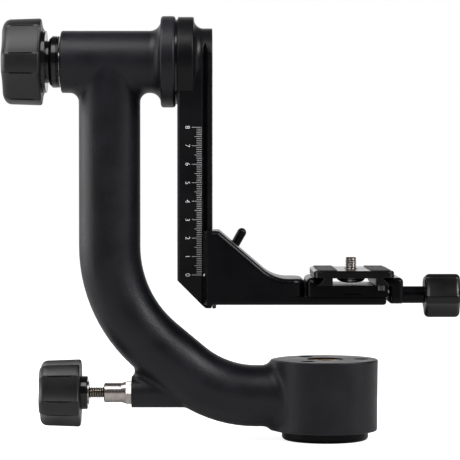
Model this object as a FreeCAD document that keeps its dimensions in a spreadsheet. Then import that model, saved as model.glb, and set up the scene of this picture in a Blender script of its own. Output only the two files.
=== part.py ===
import FreeCAD, Part
import math
import os
import Sketcher

# Gimbal tripod head. Millimetres. +Z is up, the pan axis is the Z axis and Z = 0 is the underside
# of the base. The swing arm stands along X from the arm, and the tilt axis lies along X.

DRIVING_SIZES = [
    # clearances
    ("run_gap", 0.05, "radial clearance of a shaft that turns or slides in its bore"),
    ("face_gap", 0.1, "between flat faces of pieces that move on each other"),
    ("free_gap", 0.3, "around pieces that pass each other without guiding"),
    ("overrun", 1, "how far a cutter runs past the face it starts from"),
    ("small_edge", 0.5, "bevel or rounding at the ends of small turned pieces"),
    # base, spindle and cap
    ("base_radius", 23.8, "turned base plate"),
    ("base_thickness", 4.7, ""),
    ("base_edge_round", 2.2, "rounded lower rim of the base plate"),
    ("tripod_thread_radius", 4.7625, "3/8 inch tripod thread, major radius"),
    ("tripod_thread_depth", 14, ""),
    ("spigot_radius", 9, "spindle foot that fills the base plate's bore"),
    ("spindle_flange_radius", 19, ""),
    ("spindle_flange_thickness", 3.5, ""),
    ("spindle_radius", 8, ""),
    ("cap_radius", 10.1, "bronze cap that shows in the top of the hub"),
    ("cap_recess", 0.8, "cap's top below the hub's top"),
    ("cap_screw_radius", 3, ""),
    ("cap_screw_head_radius", 5, ""),
    ("cap_screw_head_height", 3, ""),
    ("cap_screw_length", 15, "below its head"),
    ("cap_screw_socket", 2.5, "half the hexagon's width across flats"),
    ("cap_screw_socket_depth", 2.1, ""),
    ("base_screw_circle", 14, "radius of the ring of screws under the base"),
    ("base_screw_count", 3, ""),
    ("base_screw_radius", 1.5, ""),
    ("base_screw_head_radius", 2.9, ""),
    ("base_screw_length", 7.4, ""),
    # hub at the foot of the arm
    ("hub_gap", 0.5, "dark line between base plate and hub"),
    ("hub_height", 39.1, ""),
    ("hub_radius", 29.1, "at the top"),
    ("hub_draft", 0.4, "by which the hub is smaller at the bottom"),
    ("hub_edge_round", 0.8, ""),
    ("hub_blend", 6, "concave blend from the hub to the tube"),
    ("hub_bore_radius", 25, ""),
    ("hub_roof", 7.3, "thickness above the bearing housing"),
    ("hub_screw_circle", 19.9, ""),
    ("hub_screw_count", 3, ""),
    ("hub_screw_radius", 2, ""),
    ("hub_screw_head_radius", 3.6, ""),
    ("hub_screw_head_height", 3, ""),
    ("hub_screw_length", 12, "below its head"),
    ("hub_screw_socket_rise", 1, "floor of the socket above the head's seat"),
    ("hub_counterbore_radius", 4.05, ""),
    ("hub_counterbore_depth", 5, ""),
    ("thrust_washer_thickness", 1.1, ""),
    ("thrust_washer_inner", 10, ""),
    ("thrust_washer_outer", 18, ""),
    ("pan_bush_wall", 1.5, ""),
    ("pan_bush_length", 6, ""),
    ("bush_flange_radius", 12, ""),
    ("bush_flange_thickness", 1.5, ""),
    # J-shaped tube of the arm
    ("arm_reach", 118.6, "pan axis to the axis of the upright tube"),
    ("tube_radius", 16.9, ""),
    ("tube_wall", 5.2, ""),
    ("foot_height", 24.1, "axis of the tube where it enters the hub"),
    ("upper_bend", 71.8, "radius of the tube's axis in its upper bend"),
    ("lower_bend", 60.4, "radius of the tube's axis in its lower bend"),
    ("bend_angle", 50.3, "turned by the upper bend, the rest by the lower one"),
    ("bend_run", 20.6, "straight stretch between the bends"),
    # barrel with the tilt bearing
    ("tilt_height", 207.8, ""),
    ("barrel_radius", 17.05, ""),
    ("barrel_left_length", 26.4, "from the tube's axis to the barrel's free end"),
    ("barrel_right_length", 36.3, "from the tube's axis to the flange's face"),
    ("barrel_edge_round", 1, ""),
    ("barrel_bore", 11, ""),
    ("flange_radius", 25.05, ""),
    ("flange_thickness", 8, ""),
    ("flange_edge_round", 1.5, ""),
    ("flange_blend", 6, "concave blend from the barrel to the flange"),
    ("tube_blend", 5, "concave blend from the barrel to the tube"),
    ("tilt_shaft_radius", 8, ""),
    ("front_bush_length", 18, ""),
    ("rear_bush_length", 15, ""),
    ("thrust_ring_radius", 23.3, ""),
    ("thrust_ring_thickness", 1.2, ""),
    # swing arm
    ("swing_drop", 134.6, "tilt axis to the lower end of the swing arm"),
    ("slab_depth", 13.4, "left face to the dovetail groove"),
    ("slab_half", 18.2, "half width of the slab"),
    ("groove_width", 3.2, ""),
    ("neck_half", 15.2, "half width at the bottom of the grooves"),
    ("lip_half", 17.8, "half width of the dovetail lip"),
    ("lip_depth", 2.3, ""),
    ("foot_chamfer", 15.2, "slanted lower left corner"),
    ("slab_edge", 1.2, "bevel along the slab's left edges"),
    ("foot_edge", 0.8, "bevel at the slab's lower right end"),
    ("hub_disc_radius", 24.6, ""),
    ("hub_disc_depth", 8.8, ""),
    ("hub_disc_edge", 0.6, "small roundings of the hub disc and its nose"),
    ("hub_nose_radius", 18.3, ""),
    ("hub_nose_blend", 5.2, ""),
    ("groove_rise", 10.6, "how far the grooves run above the tilt axis"),
    ("shaft_seat_depth", 8, "blind bore that seats the tilt shaft"),
    ("shaft_bolt_radius", 4, ""),
    ("shaft_bolt_head_radius", 6.5, ""),
    ("shaft_bolt_head_height", 4.5, ""),
    ("shaft_bolt_length", 20, "below its head"),
    ("shaft_bolt_socket", 3, "half the hexagon's width across flats"),
    ("shaft_bolt_socket_depth", 3, ""),
    ("shaft_bolt_recess", 0.3, "bolt's head below the swing arm's face"),
    ("stop_screw_rise", 2.1, "above the lower end of the swing arm"),
    ("stop_screw_radius", 1.5, ""),
    ("stop_screw_head_radius", 3.2, ""),
    ("stop_screw_head_height", 2.1, ""),
    ("stop_screw_length", 8, ""),
    ("stop_screw_socket", 1.2, "half the hexagon's width across flats"),
    ("stop_screw_socket_depth", 1, ""),
    # tilt lock
    ("friction_washer_thickness", 0.4, ""),
    ("friction_washer_radius", 13.2, ""),
    ("tilt_lock_gap", 0.5, "closes as the knob is tightened"),
    ("collar_radius", 14.2, ""),
    ("collar_length", 5.4, ""),
    ("collar_bevel", 1.6, ""),
    ("collar_groove", 0.35, "width and depth of the fine grooves round the collar"),
    ("tilt_stud_radius", 5, ""),
    ("tilt_stud_length", 15, ""),
    ("tilt_core_radius", 11.6, ""),
    ("tilt_core_neck", 1.8, "core that shows between collar and flange ring"),
    ("tilt_core_depth", 13, "core inside the grip"),
    ("tilt_ring_radius", 17, ""),
    ("tilt_ring_thickness", 2.2, ""),
    ("tilt_grip_radius", 23.9, ""),
    ("tilt_grip_length", 21.1, ""),
    ("tilt_grip_taper", 0.5, "by which the grip is smaller at its outer end"),
    ("tilt_grip_round", 4.5, ""),
    ("tilt_lobe_turn", -4.7, "angle of the first lobe above the front"),
    ("tilt_cap_radius", 9, ""),
    # knobs
    ("lobe_count", 5, ""),
    ("valley_angle", 45.5, "width of a hollow between two lobes"),
    ("tilt_valley_depth", 3, ""),
    ("pan_valley_depth", 2.4, ""),
    ("cap_thickness", 1.5, "caps in the ends of the knobs"),
    # pan lock
    ("lock_height", 25.8, ""),
    ("boss_radius", 8.3, ""),
    ("boss_offset", 12, "boss face to the right of the upright tube's axis"),
    ("boss_depth", 45, "boss reaches into the tube, which swallows its end"),
    ("boss_blend", 3.7, "blend between boss and tube, cut off level with the boss face"),
    ("sleeve_radius", 5.4, ""),
    ("sleeve_length", 9.6, ""),
    ("sleeve_cone", 2.6, ""),
    ("hex_radius", 7, "across the corners of the sleeve's hexagon"),
    ("hex_thickness", 3, ""),
    ("hex_step", 0.8, "by which the sleeve's cone is smaller than the hexagon"),
    ("sleeve_spigot_radius", 4.6, ""),
    ("sleeve_spigot_length", 10.6, ""),
    ("lock_screw_radius", 3.175, ""),
    ("lock_screw_length", 30.3, "from the knob's washer to the tip"),
    ("lock_screw_root", 16, "inside the knob"),
    ("lock_screw_show", 8.2, "bare thread between sleeve and knob"),
    ("lock_washer_radius", 6.2, ""),
    ("lock_washer_thickness", 0.7, ""),
    ("pan_core_radius", 9.2, ""),
    ("pan_core_neck", 3.9, ""),
    ("pan_core_depth", 12, ""),
    ("pan_grip_radius", 18.75, ""),
    ("pan_grip_length", 22.3, ""),
    ("pan_grip_taper", 0.7, ""),
    ("pan_grip_round", 4, ""),
    ("pan_lobe_turn", 47.5, "angle of one lobe above the front"),
    ("pan_cap_radius", 7, ""),
    ("push_rod_radius", 3, ""),
    ("shoe_radius", 4.6, ""),
    ("shoe_length", 9, ""),
    ("pan_lock_gap", 0.45, "shoe to spindle"),
    ("pan_lock_back", 3, "room behind the shoe"),
    # cradle bracket
    ("bracket_rise", 2.2, "bracket's underside above the end of the swing arm"),
    ("bracket_half", 25, ""),
    ("bracket_height", 40, ""),
    ("crest_width", 3.3, ""),
    ("crest_round", 2.5, ""),
    ("slope_angle", 40.6, "below the horizontal"),
    ("slope_blend", 20.7, ""),
    ("bracket_edge_round", 2.8, ""),
    ("block_height", 14.1, ""),
    ("block_length", 50, ""),
    ("block_corner", 8, ""),
    ("platform_thickness", 4.3, ""),
    ("platform_length", 43.8, ""),
    ("platform_corner", 1.5, ""),
    ("platform_toe", 1.6, "rounding under the platform's free end"),
    ("claw_shift", 0.6, "by which a claw stays out of its groove"),
    ("claw_bevel", 2.5, "outer edge of a claw to the right of its tip's corner"),
    # height clamp at the back of the bracket
    ("height_jaw_length", 12.8, "along X, right of the channel"),
    ("height_jaw_bottom", 5.6, "above the bracket's underside"),
    ("height_jaw_height", 24, ""),
    ("lever_offset", 5.8, "lever axis right of the channel floor"),
    ("lever_rise", 20, "lever axis above the bracket's underside"),
    ("lever_screw_radius", 2.5, ""),
    ("lever_screw_reach", 14, "into the bracket, from the jaw's inner face"),
    ("lever_hub_radius", 5.5, ""),
    ("lever_hub_height", 6.2, ""),
    ("lever_arm_radius", 2.55, ""),
    ("lever_arm_length", 20.7, "lever axis to the centre of the round tip"),
    ("lever_angle", 60.5, "of the arm above the horizontal"),
    ("lever_cap_radius", 4, ""),
    ("lever_cap_height", 1.8, ""),
    ("lever_spring_radius", 4, ""),
    ("lever_spring_depth", 5, ""),
    ("spring_wire", 0.7, ""),
    # quick-release clamp
    ("clamp_offset", 0.6, "clamp body right of the block"),
    ("clamp_length", 43.9, ""),
    ("clamp_half", 26, ""),
    ("clamp_seat", 0.2, "clamp body above the platform"),
    ("clamp_floor", 6, "thickness under the plate"),
    ("clamp_jaw_height", 10.3, ""),
    ("clamp_round", 3, ""),
    ("clamp_corner", 4.5, ""),
    ("clamp_nose", 0.7, "upright part of the jaws' noses"),
    ("keel_half", 7, ""),
    ("keel_left", 5.2, "keel's left end right of the clamp's left end"),
    ("keel_drop", 4, ""),
    ("clamp_mark_half", 4.7, "slot cut in the clamp's front"),
    ("clamp_mark_height", 1.4, ""),
    ("clamp_mark_depth", 0.5, ""),
    ("clamp_mark_drop", 1, "slot below the middle of the clamp's side"),
    ("clamp_screw_inset", 10.2, "first mount screws from the clamp's left end"),
    ("clamp_screw_spacing", 13, ""),
    ("clamp_screw_offset", 15, "mount screws to each side of the middle"),
    ("clamp_screw_radius", 2, ""),
    ("clamp_screw_head_radius", 3.6, ""),
    ("clamp_screw_head_height", 2.2, ""),
    ("clamp_screw_length", 8.6, ""),
    ("guide_pin_radius", 1.5, ""),
    ("guide_pin_offset", 19, ""),
    ("guide_pin_rise", 3.3, "above the clamp body's underside"),
    ("guide_pin_root", 13, ""),
    ("guide_pin_reach", 6, "into the moving jaw"),
    ("jaw_spring_radius", 2.5, ""),
    ("jaw_spring_depth", 7, ""),
    ("jaw_gap", 0.95, "clamp body to moving jaw"),
    ("jaw_thickness", 7.45, ""),
    ("jaw_top_round", 2.4, ""),
    ("jaw_foot_round", 1.2, ""),
    ("jaw_corner", 3, ""),
    ("jaw_wall", 0.6, "moving jaw's wall outside its guide holes"),
    ("jaw_drop", 3.8, "moving jaw's foot below the clamp body"),
    ("qr_screw_radius", 3, ""),
    ("qr_screw_root", 34, "screw inside the clamp body"),
    ("qr_sleeve_radius", 4.7, ""),
    ("qr_sleeve_length", 13.1, ""),
    ("qr_knob_radius", 12.3, ""),
    ("qr_knob_length", 19.5, ""),
    ("qr_knob_round", 2.6, ""),
    ("qr_rib_turn", -10.6, "angle of one rib above the front"),
    ("qr_valley_angle", 54, ""),
    ("qr_valley_depth", 1.9, ""),
    # quick-release plate
    ("plate_gap", 0.28, "between the plate's slanted side and a jaw"),
    ("plate_lift", 0.4, "plate's foot above the clamp's floor"),
    ("plate_foot_half", 19.25, ""),
    ("plate_flank", 3.5, "height of the slanted sides"),
    ("plate_neck", 0.7, ""),
    ("plate_thickness", 3.7, "top flange"),
    ("plate_half", 21.55, ""),
    ("plate_half_length", 35, ""),
    ("plate_corner", 4.5, ""),
    ("plate_bevel", 0.7, ""),
    ("plate_channel_half", 11.5, ""),
    ("plate_channel_depth", 3.9, ""),
    ("plate_slot_half", 3.4, ""),
    ("plate_slot_reach", 8, ""),
    ("pad_inner", 9, "from the plate's middle"),
    ("pad_outer", 19.4, ""),
    ("pad_inset", 2.4, "pads' ends from the plate's ends"),
    ("pad_depth", 1, ""),
    ("pad_proud", 0.5, ""),
    ("stop_pin_inset", 2.8, "plate's stop screws from its ends"),
    ("stop_pin_offset", 14.6, "plate's stop screws from its middle, along X"),
    ("stop_pin_radius", 1.2, ""),
    ("stop_pin_head_radius", 2.2, ""),
    ("stop_pin_drop", 2.6, "height of the heads under the plate"),
    ("stop_pin_seat", 2.5, ""),
    # camera screw
    ("camera_thread_radius", 3.175, "1/4 inch camera thread, major radius"),
    ("camera_thread_height", 5.9, "above the pads"),
    ("camera_neck_radius", 2.7, "plain neck below the thread"),
    ("camera_head_radius", 5.9, ""),
    ("camera_head_height", 1.8, ""),
    ("camera_washer_radius", 7.2, ""),
    ("camera_washer_thickness", 0.3, ""),
    ("ring_radius", 7, "of the bail's wire centre line"),
    ("ring_wire", 0.7, ""),
    ("ring_tilt", 13, "by which the bail hangs at rest"),
]


class Size:
    """A value together with its spreadsheet formula, so that a sum of sizes is a formula too."""

    def __init__(self, value, formula=None):
        self.value = float(value)
        self.formula = formula if formula is not None else "(%s)" % repr(float(value))

    def __add__(self, other):
        other = as_size(other)
        return Size(self.value + other.value, "(%s + %s)" % (self.formula, other.formula))

    def __sub__(self, other):
        other = as_size(other)
        return Size(self.value - other.value, "(%s - %s)" % (self.formula, other.formula))

    def __mul__(self, other):
        other = as_size(other)
        return Size(self.value * other.value, "(%s * %s)" % (self.formula, other.formula))

    def __truediv__(self, other):
        other = as_size(other)
        return Size(self.value / other.value, "(%s / %s)" % (self.formula, other.formula))

    def __rsub__(self, other):
        return as_size(other) - self

    def __rtruediv__(self, other):
        return as_size(other) / self

    def __neg__(self):
        return Size(-self.value, "(-%s)" % self.formula)

    __radd__ = __add__
    __rmul__ = __mul__


def as_size(value):
    return value if isinstance(value, Size) else Size(value)


def sine(angle):
    return Size(math.sin(math.radians(angle.value)), "sin(%s)" % angle.formula)


def cosine(angle):
    return Size(math.cos(math.radians(angle.value)), "cos(%s)" % angle.formula)


def tangent(angle):
    return sine(angle) / cosine(angle)


class SizeSheet:
    """The document's spreadsheet, with each driving size readable as an attribute."""

    def __init__(self, document, rows):
        self.sheet = document.addObject("Spreadsheet::Sheet", "Sizes")
        self.sizes = {}
        for number, (alias, value, note) in enumerate(rows, start=1):
            self.sheet.set("A%d" % number, alias.replace("_", " "))
            self.sheet.set("B%d" % number, str(value))
            self.sheet.setAlias("B%d" % number, alias)
            self.sheet.set("C%d" % number, note)
            self.sizes[alias] = Size(value, "Sizes.%s" % alias)

    def __getattr__(self, alias):
        return self.sizes[alias]


doc = FreeCAD.newDocument("GimbalHead")
S = SizeSheet(doc, DRIVING_SIZES)
doc.recompute()
sub_parts = []


# ---------------------------------------------------------------- tools for bodies and sketches

def new_body(label, height=None):
    """A body whose own X axis can be raised to a height, for pieces turned about that axis."""
    body = doc.addObject("PartDesign::Body", label)
    body.Label = label
    if height is not None:
        body.setExpression("Placement.Base.z", height.formula)
    sub_parts.append(body)
    return body


def new_sketch(body, role, offset=0):
    """A sketch on one of the body's origin planes, moved along the plane's normal by offset."""
    sketch = body.newObject("Sketcher::SketchObject", body.Name + "_sketch")
    plane = [item for item in body.Origin.OriginFeatures if item.Role == role][0]
    sketch.AttachmentSupport = (plane, [""])
    sketch.MapMode = "FlatFace"
    offset = as_size(offset)
    sketch.setExpression("AttachmentOffset.Base.z", offset.formula)
    return sketch


def bound(sketch, kind, *places, size):
    """A dimension of the sketch that follows a formula."""
    size = as_size(size)
    index = sketch.addConstraint(Sketcher.Constraint(kind, *places, size.value))
    sketch.setExpression("Constraints[%d]" % index, size.formula)


def fix_point(sketch, geometry, vertex, x, y):
    bound(sketch, "DistanceX", -1, 1, geometry, vertex, size=x)
    bound(sketch, "DistanceY", -1, 1, geometry, vertex, size=y)


def arc_between(start, end, radius):
    """The arc from start to end, turning left for a positive radius, and its first vertex."""
    middle = (start + end) * 0.5
    half = (end - start) * 0.5
    rise = math.sqrt(max(radius * radius - half.Length ** 2, 0.0))
    left = FreeCAD.Vector(-half.y, half.x, 0).normalize()
    centre = middle + left * math.copysign(rise, radius)
    circle = Part.Circle(centre, FreeCAD.Vector(0, 0, 1), abs(radius))
    first, last = (start, end) if radius > 0 else (end, start)
    begin = math.atan2(first.y - centre.y, first.x - centre.x)
    finish = math.atan2(last.y - centre.y, last.x - centre.x)
    if finish < begin:
        finish += 2 * math.pi
    return Part.ArcOfCircle(circle, begin, finish)


def draw_run(sketch, points, closed=True):
    """Draw a line through points (x, y), or (x, y, r) where an arc of radius r leads to the point.

    The arc turns left for a positive r. The edges' names are returned.
    """
    ends = [FreeCAD.Vector(as_size(point[0]).value, as_size(point[1]).value, 0) for point in points]
    edges = []
    first = 0 if closed else 1
    for index in range(first, len(points)):
        start = ends[index - 1]
        end = ends[index]
        if len(points[index]) == 3:
            radius = as_size(points[index][2])
            edge = sketch.addGeometry(arc_between(start, end, radius.value), False)
            forward = radius.value > 0
            edges.append((edge, 1 if forward else 2, 2 if forward else 1))
            size = radius if forward else -radius
            bound(sketch, "Radius", edge, size=size)
        else:
            edge = sketch.addGeometry(Part.LineSegment(start, end), False)
            edges.append((edge, 1, 2))
    links = range(len(edges)) if closed else range(1, len(edges))
    for index in links:
        before = edges[index - 1]
        after = edges[index]
        sketch.addConstraint(Sketcher.Constraint("Coincident", before[0], before[2], after[0], after[1]))
    if not closed:
        fix_point(sketch, edges[0][0], edges[0][1], points[0][0], points[0][1])
    for (edge, start_vertex, end_vertex), point in zip(edges, points[first:]):
        fix_point(sketch, edge, end_vertex, point[0], point[1])
    return ["Edge%d" % (edge[0] + 1) for edge in edges]


def draw_circle(sketch, x, y, radius):
    centre = FreeCAD.Vector(as_size(x).value, as_size(y).value, 0)
    circle = Part.Circle(centre, FreeCAD.Vector(0, 0, 1), as_size(radius).value)
    index = sketch.addGeometry(circle, False)
    fix_point(sketch, index, 3, x, y)
    bound(sketch, "Radius", index, size=radius)


def box_points(left, right, bottom, top):
    return [(left, bottom), (right, bottom), (right, top), (left, top)]


def hexagon_points(x, y, half):
    """A hexagon with two corners on the sketch's horizontal, half its width across flats given."""
    corner = half / math.cos(math.pi / 6)
    points = []
    for step in range(6):
        angle = step * math.pi / 3
        points.append((x + corner * math.cos(angle), y + corner * math.sin(angle)))
    return points


def ring_points(radius, step, count):
    """The point of the ring at a step of a full turn, as a pair of sizes."""
    angle = Size(360) * step / count
    return radius * cosine(angle), radius * sine(angle)


def between(role, low, high):
    """The plane offset and length of a pad that fills the span from low to high."""
    low = as_size(low)
    high = as_size(high)
    offset = -high if role == "XZ_Plane" else low
    return offset, high - low


def shaped(body, kind, role, low, high, drawing):
    """A Pad or a Pocket of a drawing on the plane, over the span from low to high along its normal."""
    offset, length = between(role, low, high)
    sketch = new_sketch(body, role, offset)
    drawing(sketch)
    feature = body.newObject("PartDesign::" + kind, body.Name + "_" + kind.lower())
    feature.Profile = sketch
    feature.setExpression("Length", length.formula)
    if kind == "Pocket":
        feature.Reversed = True
    sketch.Visibility = False
    return feature


def pad(body, role, low, high, points):
    return shaped(body, "Pad", role, low, high, lambda sketch: draw_run(sketch, points))


def pad_disc(body, role, low, high, x, y, radius):
    return shaped(body, "Pad", role, low, high, lambda sketch: draw_circle(sketch, x, y, radius))


def checked_cut(body, make):
    """Make a cutting feature, and stop if it took nothing away."""
    doc.recompute()
    before = body.Shape.Volume
    feature = make()
    doc.recompute()
    if not body.Shape.Volume < before - 1e-6:
        raise ValueError("%s of %s cut nothing" % (feature.Name, body.Label))
    return feature


def cut(body, role, low, high, points):
    return checked_cut(body, lambda: shaped(
        body, "Pocket", role, low, high, lambda sketch: draw_run(sketch, points)))


def cut_disc(body, role, low, high, x, y, radius):
    return checked_cut(body, lambda: shaped(
        body, "Pocket", role, low, high, lambda sketch: draw_circle(sketch, x, y, radius)))


def cut_slot(body, role, low, high, start, end, radius):
    """A slot with round ends about two centres, which lie level or upright in the sketch."""
    level = abs(as_size(start[1]).value - as_size(end[1]).value) < 1e-9
    wide_x, wide_y = (0, radius) if level else (radius, 0)
    points = box_points(start[0] - wide_x, end[0] + wide_x, start[1] - wide_y, end[1] + wide_y)
    cut(body, role, low, high, points)
    cut_disc(body, role, low, high, start[0], start[1], radius)
    cut_disc(body, role, low, high, end[0], end[1], radius)


def repeat(body, feature, axis_name, count):
    """Repeat a feature evenly round the normal of its own sketch, through the sketch's origin."""
    pattern = body.newObject("PartDesign::PolarPattern", body.Name + "_pattern")
    pattern.Originals = [feature]
    pattern.Axis = (feature.Profile[0], [axis_name])
    pattern.Angle = 360
    pattern.setExpression("Occurrences", count.formula)
    body.Tip = pattern
    return pattern


def spin(body, axis, points, kind="Revolution", rise=None):
    """Turn a half profile of (along, radius) points about the X or Z axis, once round.

    An arc in the profile is (along, radius, r), with r as it turns in a sketch with along to the
    right and radius upwards. The axis can be raised by rise.
    """
    sketch = new_sketch(body, "XZ_Plane")
    if rise is not None:
        sketch.setExpression("AttachmentOffset.Base.y", rise.formula)
    if axis == "X":
        draw_run(sketch, points)
    else:
        swapped = [(p[1], p[0]) if len(p) == 2 else (p[1], p[0], -as_size(p[2])) for p in points]
        draw_run(sketch, swapped)
    feature = body.newObject("PartDesign::" + kind, body.Name + "_" + kind.lower())
    feature.Profile = sketch
    feature.ReferenceAxis = (sketch, ["H_Axis" if axis == "X" else "V_Axis"])
    feature.Angle = 360
    sketch.Visibility = False
    return feature


def turned(label, axis, points, height=None):
    body = new_body(label, height)
    spin(body, axis, points)
    return body


def tube(label, axis, low, high, inner, outer, height=None):
    """A plain ring or bush between two places on its axis."""
    points = [(low, inner), (high, inner), (high, outer), (low, outer)]
    return turned(label, axis, points, height)


def rounded_edges(body, kind, radius, wanted):
    """A Fillet or Chamfer on the edges that wanted picks by their box."""
    doc.recompute()
    base = body.Tip
    names = []
    for number, edge in enumerate(base.Shape.Edges, start=1):
        if wanted(edge.BoundBox):
            names.append("Edge%d" % number)
    feature = body.newObject("PartDesign::" + kind, body.Name + "_" + kind.lower())
    feature.Base = (base, names)
    feature.setExpression("Radius" if kind == "Fillet" else "Size", as_size(radius).formula)
    doc.recompute()
    return feature


def near(value, size):
    """Whether a measured place is a size, to within a hundredth of a millimetre."""
    return abs(value - as_size(size).value) < 0.01


def primitive(kind, name, **sizes):
    """A Part primitive with its sizes bound to formulas."""
    item = doc.addObject("Part::" + kind, name)
    for name, size in sizes.items():
        size = as_size(size)
        item.setExpression(name, size.formula)
    return item


def place(item, x=0, y=0, z=0, axis=None, angle=0):
    """Put an object at a bound place, turned about an axis by a bound angle."""
    if axis is not None:
        item.Placement.Rotation = FreeCAD.Rotation(FreeCAD.Vector(*axis), as_size(angle).value)
        item.setExpression("Placement.Rotation.Angle", as_size(angle).formula)
    item.setExpression("Placement.Base.x", as_size(x).formula)
    item.setExpression("Placement.Base.y", as_size(y).formula)
    item.setExpression("Placement.Base.z", as_size(z).formula)
    return item


def single(label, item):
    """A sub-part that is one primitive."""
    item.Label = label
    sub_parts.append(item)
    return item


def fused(label, shapes):
    """A sub-part made of primitives: one solid where they overlap, a group where they don't."""
    item = doc.addObject("Part::MultiFuse", label)
    item.Shapes = shapes
    item.Label = label
    sub_parts.append(item)
    return item


def without(label, whole, tools):
    """A sub-part made by taking tools away from a whole, each a primitive or a fusion."""
    cutter = tools[0]
    if len(tools) > 1:
        cutter = doc.addObject("Part::MultiFuse", label + "_cutter")
        cutter.Shapes = tools
    item = doc.addObject("Part::Cut", label)
    item.Base = whole
    item.Tool = cutter
    item.Label = label
    sub_parts.append(item)
    return item


def rod(name, radius, length, x, y, z, axis="Z"):
    """A cylinder from a point along +X, +Y or +Z."""
    item = primitive("Cylinder", name, Radius=radius, Height=length)
    turn = {"X": ((0, 1, 0), 90), "Y": ((1, 0, 0), -90), "Z": (None, 0)}[axis]
    return place(item, x, y, z, turn[0], turn[1])


# ---------------------------------------------------------------- places that pieces share

# pan bearing, upwards along Z
hub_bottom = S.base_thickness + S.hub_gap
hub_top = hub_bottom + S.hub_height
roof_bottom = hub_top - S.hub_roof
flange_top = S.base_thickness + S.spindle_flange_thickness
washer_bottom = flange_top + S.face_gap
housing_floor = washer_bottom + S.thrust_washer_thickness
spindle_bore = S.spindle_radius + S.run_gap
bush_outer = spindle_bore + S.pan_bush_wall
spindle_top = roof_bottom + S.face_gap
cap_top = hub_top - S.cap_recess
screw_seat = hub_top - S.hub_counterbore_depth

tube_end = 2 * S.overrun - S.hub_bore_radius

# tilt bearing, along X
arm_x = -S.arm_reach
barrel_left = arm_x - S.barrel_left_length
barrel_right = arm_x + S.barrel_right_length
shaft_bore = S.tilt_shaft_radius + S.run_gap
ring_right = barrel_right + S.thrust_ring_thickness
swing_left = ring_right + S.face_gap
slab_right = swing_left + S.slab_depth
groove_middle = slab_right + S.groove_width / 2
lip_left = slab_right + S.groove_width
lip_right = lip_left + S.lip_depth
seat_right = swing_left + S.shaft_seat_depth

# tilt lock, to the left
friction_left = barrel_left - S.friction_washer_thickness
collar_right = friction_left - S.tilt_lock_gap
collar_left = collar_right - S.collar_length
tilt_core_right = collar_left - S.face_gap
tilt_ring_right = tilt_core_right - S.tilt_core_neck
tilt_grip_right = tilt_ring_right - S.tilt_ring_thickness
tilt_grip_left = tilt_grip_right - S.tilt_grip_length
tilt_core_left = tilt_grip_right - S.tilt_core_depth
shaft_left = collar_left - S.face_gap

# pan lock, to the left
boss_left = arm_x + S.boss_offset
hex_left = boss_left - S.hex_thickness
sleeve_left = hex_left - S.sleeve_cone - S.sleeve_length
lock_washer_right = sleeve_left - S.lock_screw_show
pan_core_right = lock_washer_right - S.lock_washer_thickness
pan_grip_right = pan_core_right - S.pan_core_neck
pan_grip_left = pan_grip_right - S.pan_grip_length
pan_core_left = pan_grip_right - S.pan_core_depth
lock_screw_tip = lock_washer_right + S.lock_screw_length
shoe_tip = -(S.spindle_radius + S.pan_lock_gap)
shoe_back = shoe_tip - S.shoe_length

# swing arm and bracket, upwards
swing_bottom = S.tilt_height - S.swing_drop
stop_screw_height = swing_bottom + S.stop_screw_rise
bracket_bottom = swing_bottom + S.bracket_rise
bracket_top = bracket_bottom + S.bracket_height
block_top = bracket_bottom + S.block_height
platform_top = bracket_bottom + S.platform_thickness

# bracket and clamp, to the right
channel_floor = lip_right + S.free_gap
crest_right = channel_floor + S.crest_width
block_right = channel_floor + S.block_length
platform_right = block_right + S.platform_length
height_jaw_right = channel_floor + S.height_jaw_length
lever_x = channel_floor + S.lever_offset
lever_z = bracket_bottom + S.lever_rise
height_jaw_low = bracket_bottom + S.height_jaw_bottom
height_jaw_high = height_jaw_low + S.height_jaw_height
claw_inner = S.lip_half + S.claw_shift
clamp_left = block_right + S.clamp_offset
clamp_right = clamp_left + S.clamp_length
clamp_bottom = platform_top + S.clamp_seat
clamp_floor_top = clamp_bottom + S.clamp_floor
clamp_top = clamp_bottom + S.clamp_jaw_height
keel_left = clamp_left + S.keel_left
keel_bottom = clamp_bottom - S.keel_drop
jaw_left = clamp_right + S.jaw_gap
jaw_right = jaw_left + S.jaw_thickness
jaw_bottom = clamp_bottom - S.jaw_drop
jaw_top = clamp_top
qr_sleeve_left = jaw_right + S.face_gap
qr_knob_left = qr_sleeve_left + S.qr_sleeve_length
qr_knob_right = qr_knob_left + S.qr_knob_length
qr_axis = clamp_bottom - S.face_gap
guide_pin_height = clamp_bottom + S.guide_pin_rise

# plate
plate_bottom = clamp_floor_top + S.plate_lift
plate_x = jaw_left - S.free_gap - S.plate_foot_half
plate_neck_bottom = plate_bottom + S.plate_flank
plate_flange_bottom = plate_neck_bottom + S.plate_neck
plate_top = plate_flange_bottom + S.plate_thickness
plate_neck_half = S.plate_foot_half - S.plate_flank
channel_roof = plate_bottom + S.plate_channel_depth
pad_top = plate_top + S.pad_proud
pad_half_length = S.plate_half_length - S.pad_inset
stop_pin_reach = S.plate_half_length - S.stop_pin_inset
jaw_nose_bottom = jaw_top - S.clamp_nose


# ---------------------------------------------------------------- base

def make_pan_base():
    """Turned plate under the hub, with countersunk screws up into the spindle's flange."""
    top = S.base_thickness
    body = turned("pan_base", "Z", [
        (0, S.spigot_radius),
        (top, S.spigot_radius),
        (top, S.base_radius),
        (S.base_edge_round, S.base_radius),
        (0, S.base_radius - S.base_edge_round, S.base_edge_round),
    ])
    x, y = ring_points(S.base_screw_circle, 0.5, 1)
    hole = cut_disc(body, "XY_Plane", 0, top, x, y, S.base_screw_radius + S.run_gap)
    repeat(body, hole, "N_Axis", S.base_screw_count)
    head_depth = S.base_screw_head_radius - S.base_screw_radius
    sink = cut_disc(body, "XY_Plane", 0, head_depth, x, y, S.base_screw_head_radius + S.run_gap)
    repeat(body, sink, "N_Axis", S.base_screw_count)


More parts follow.
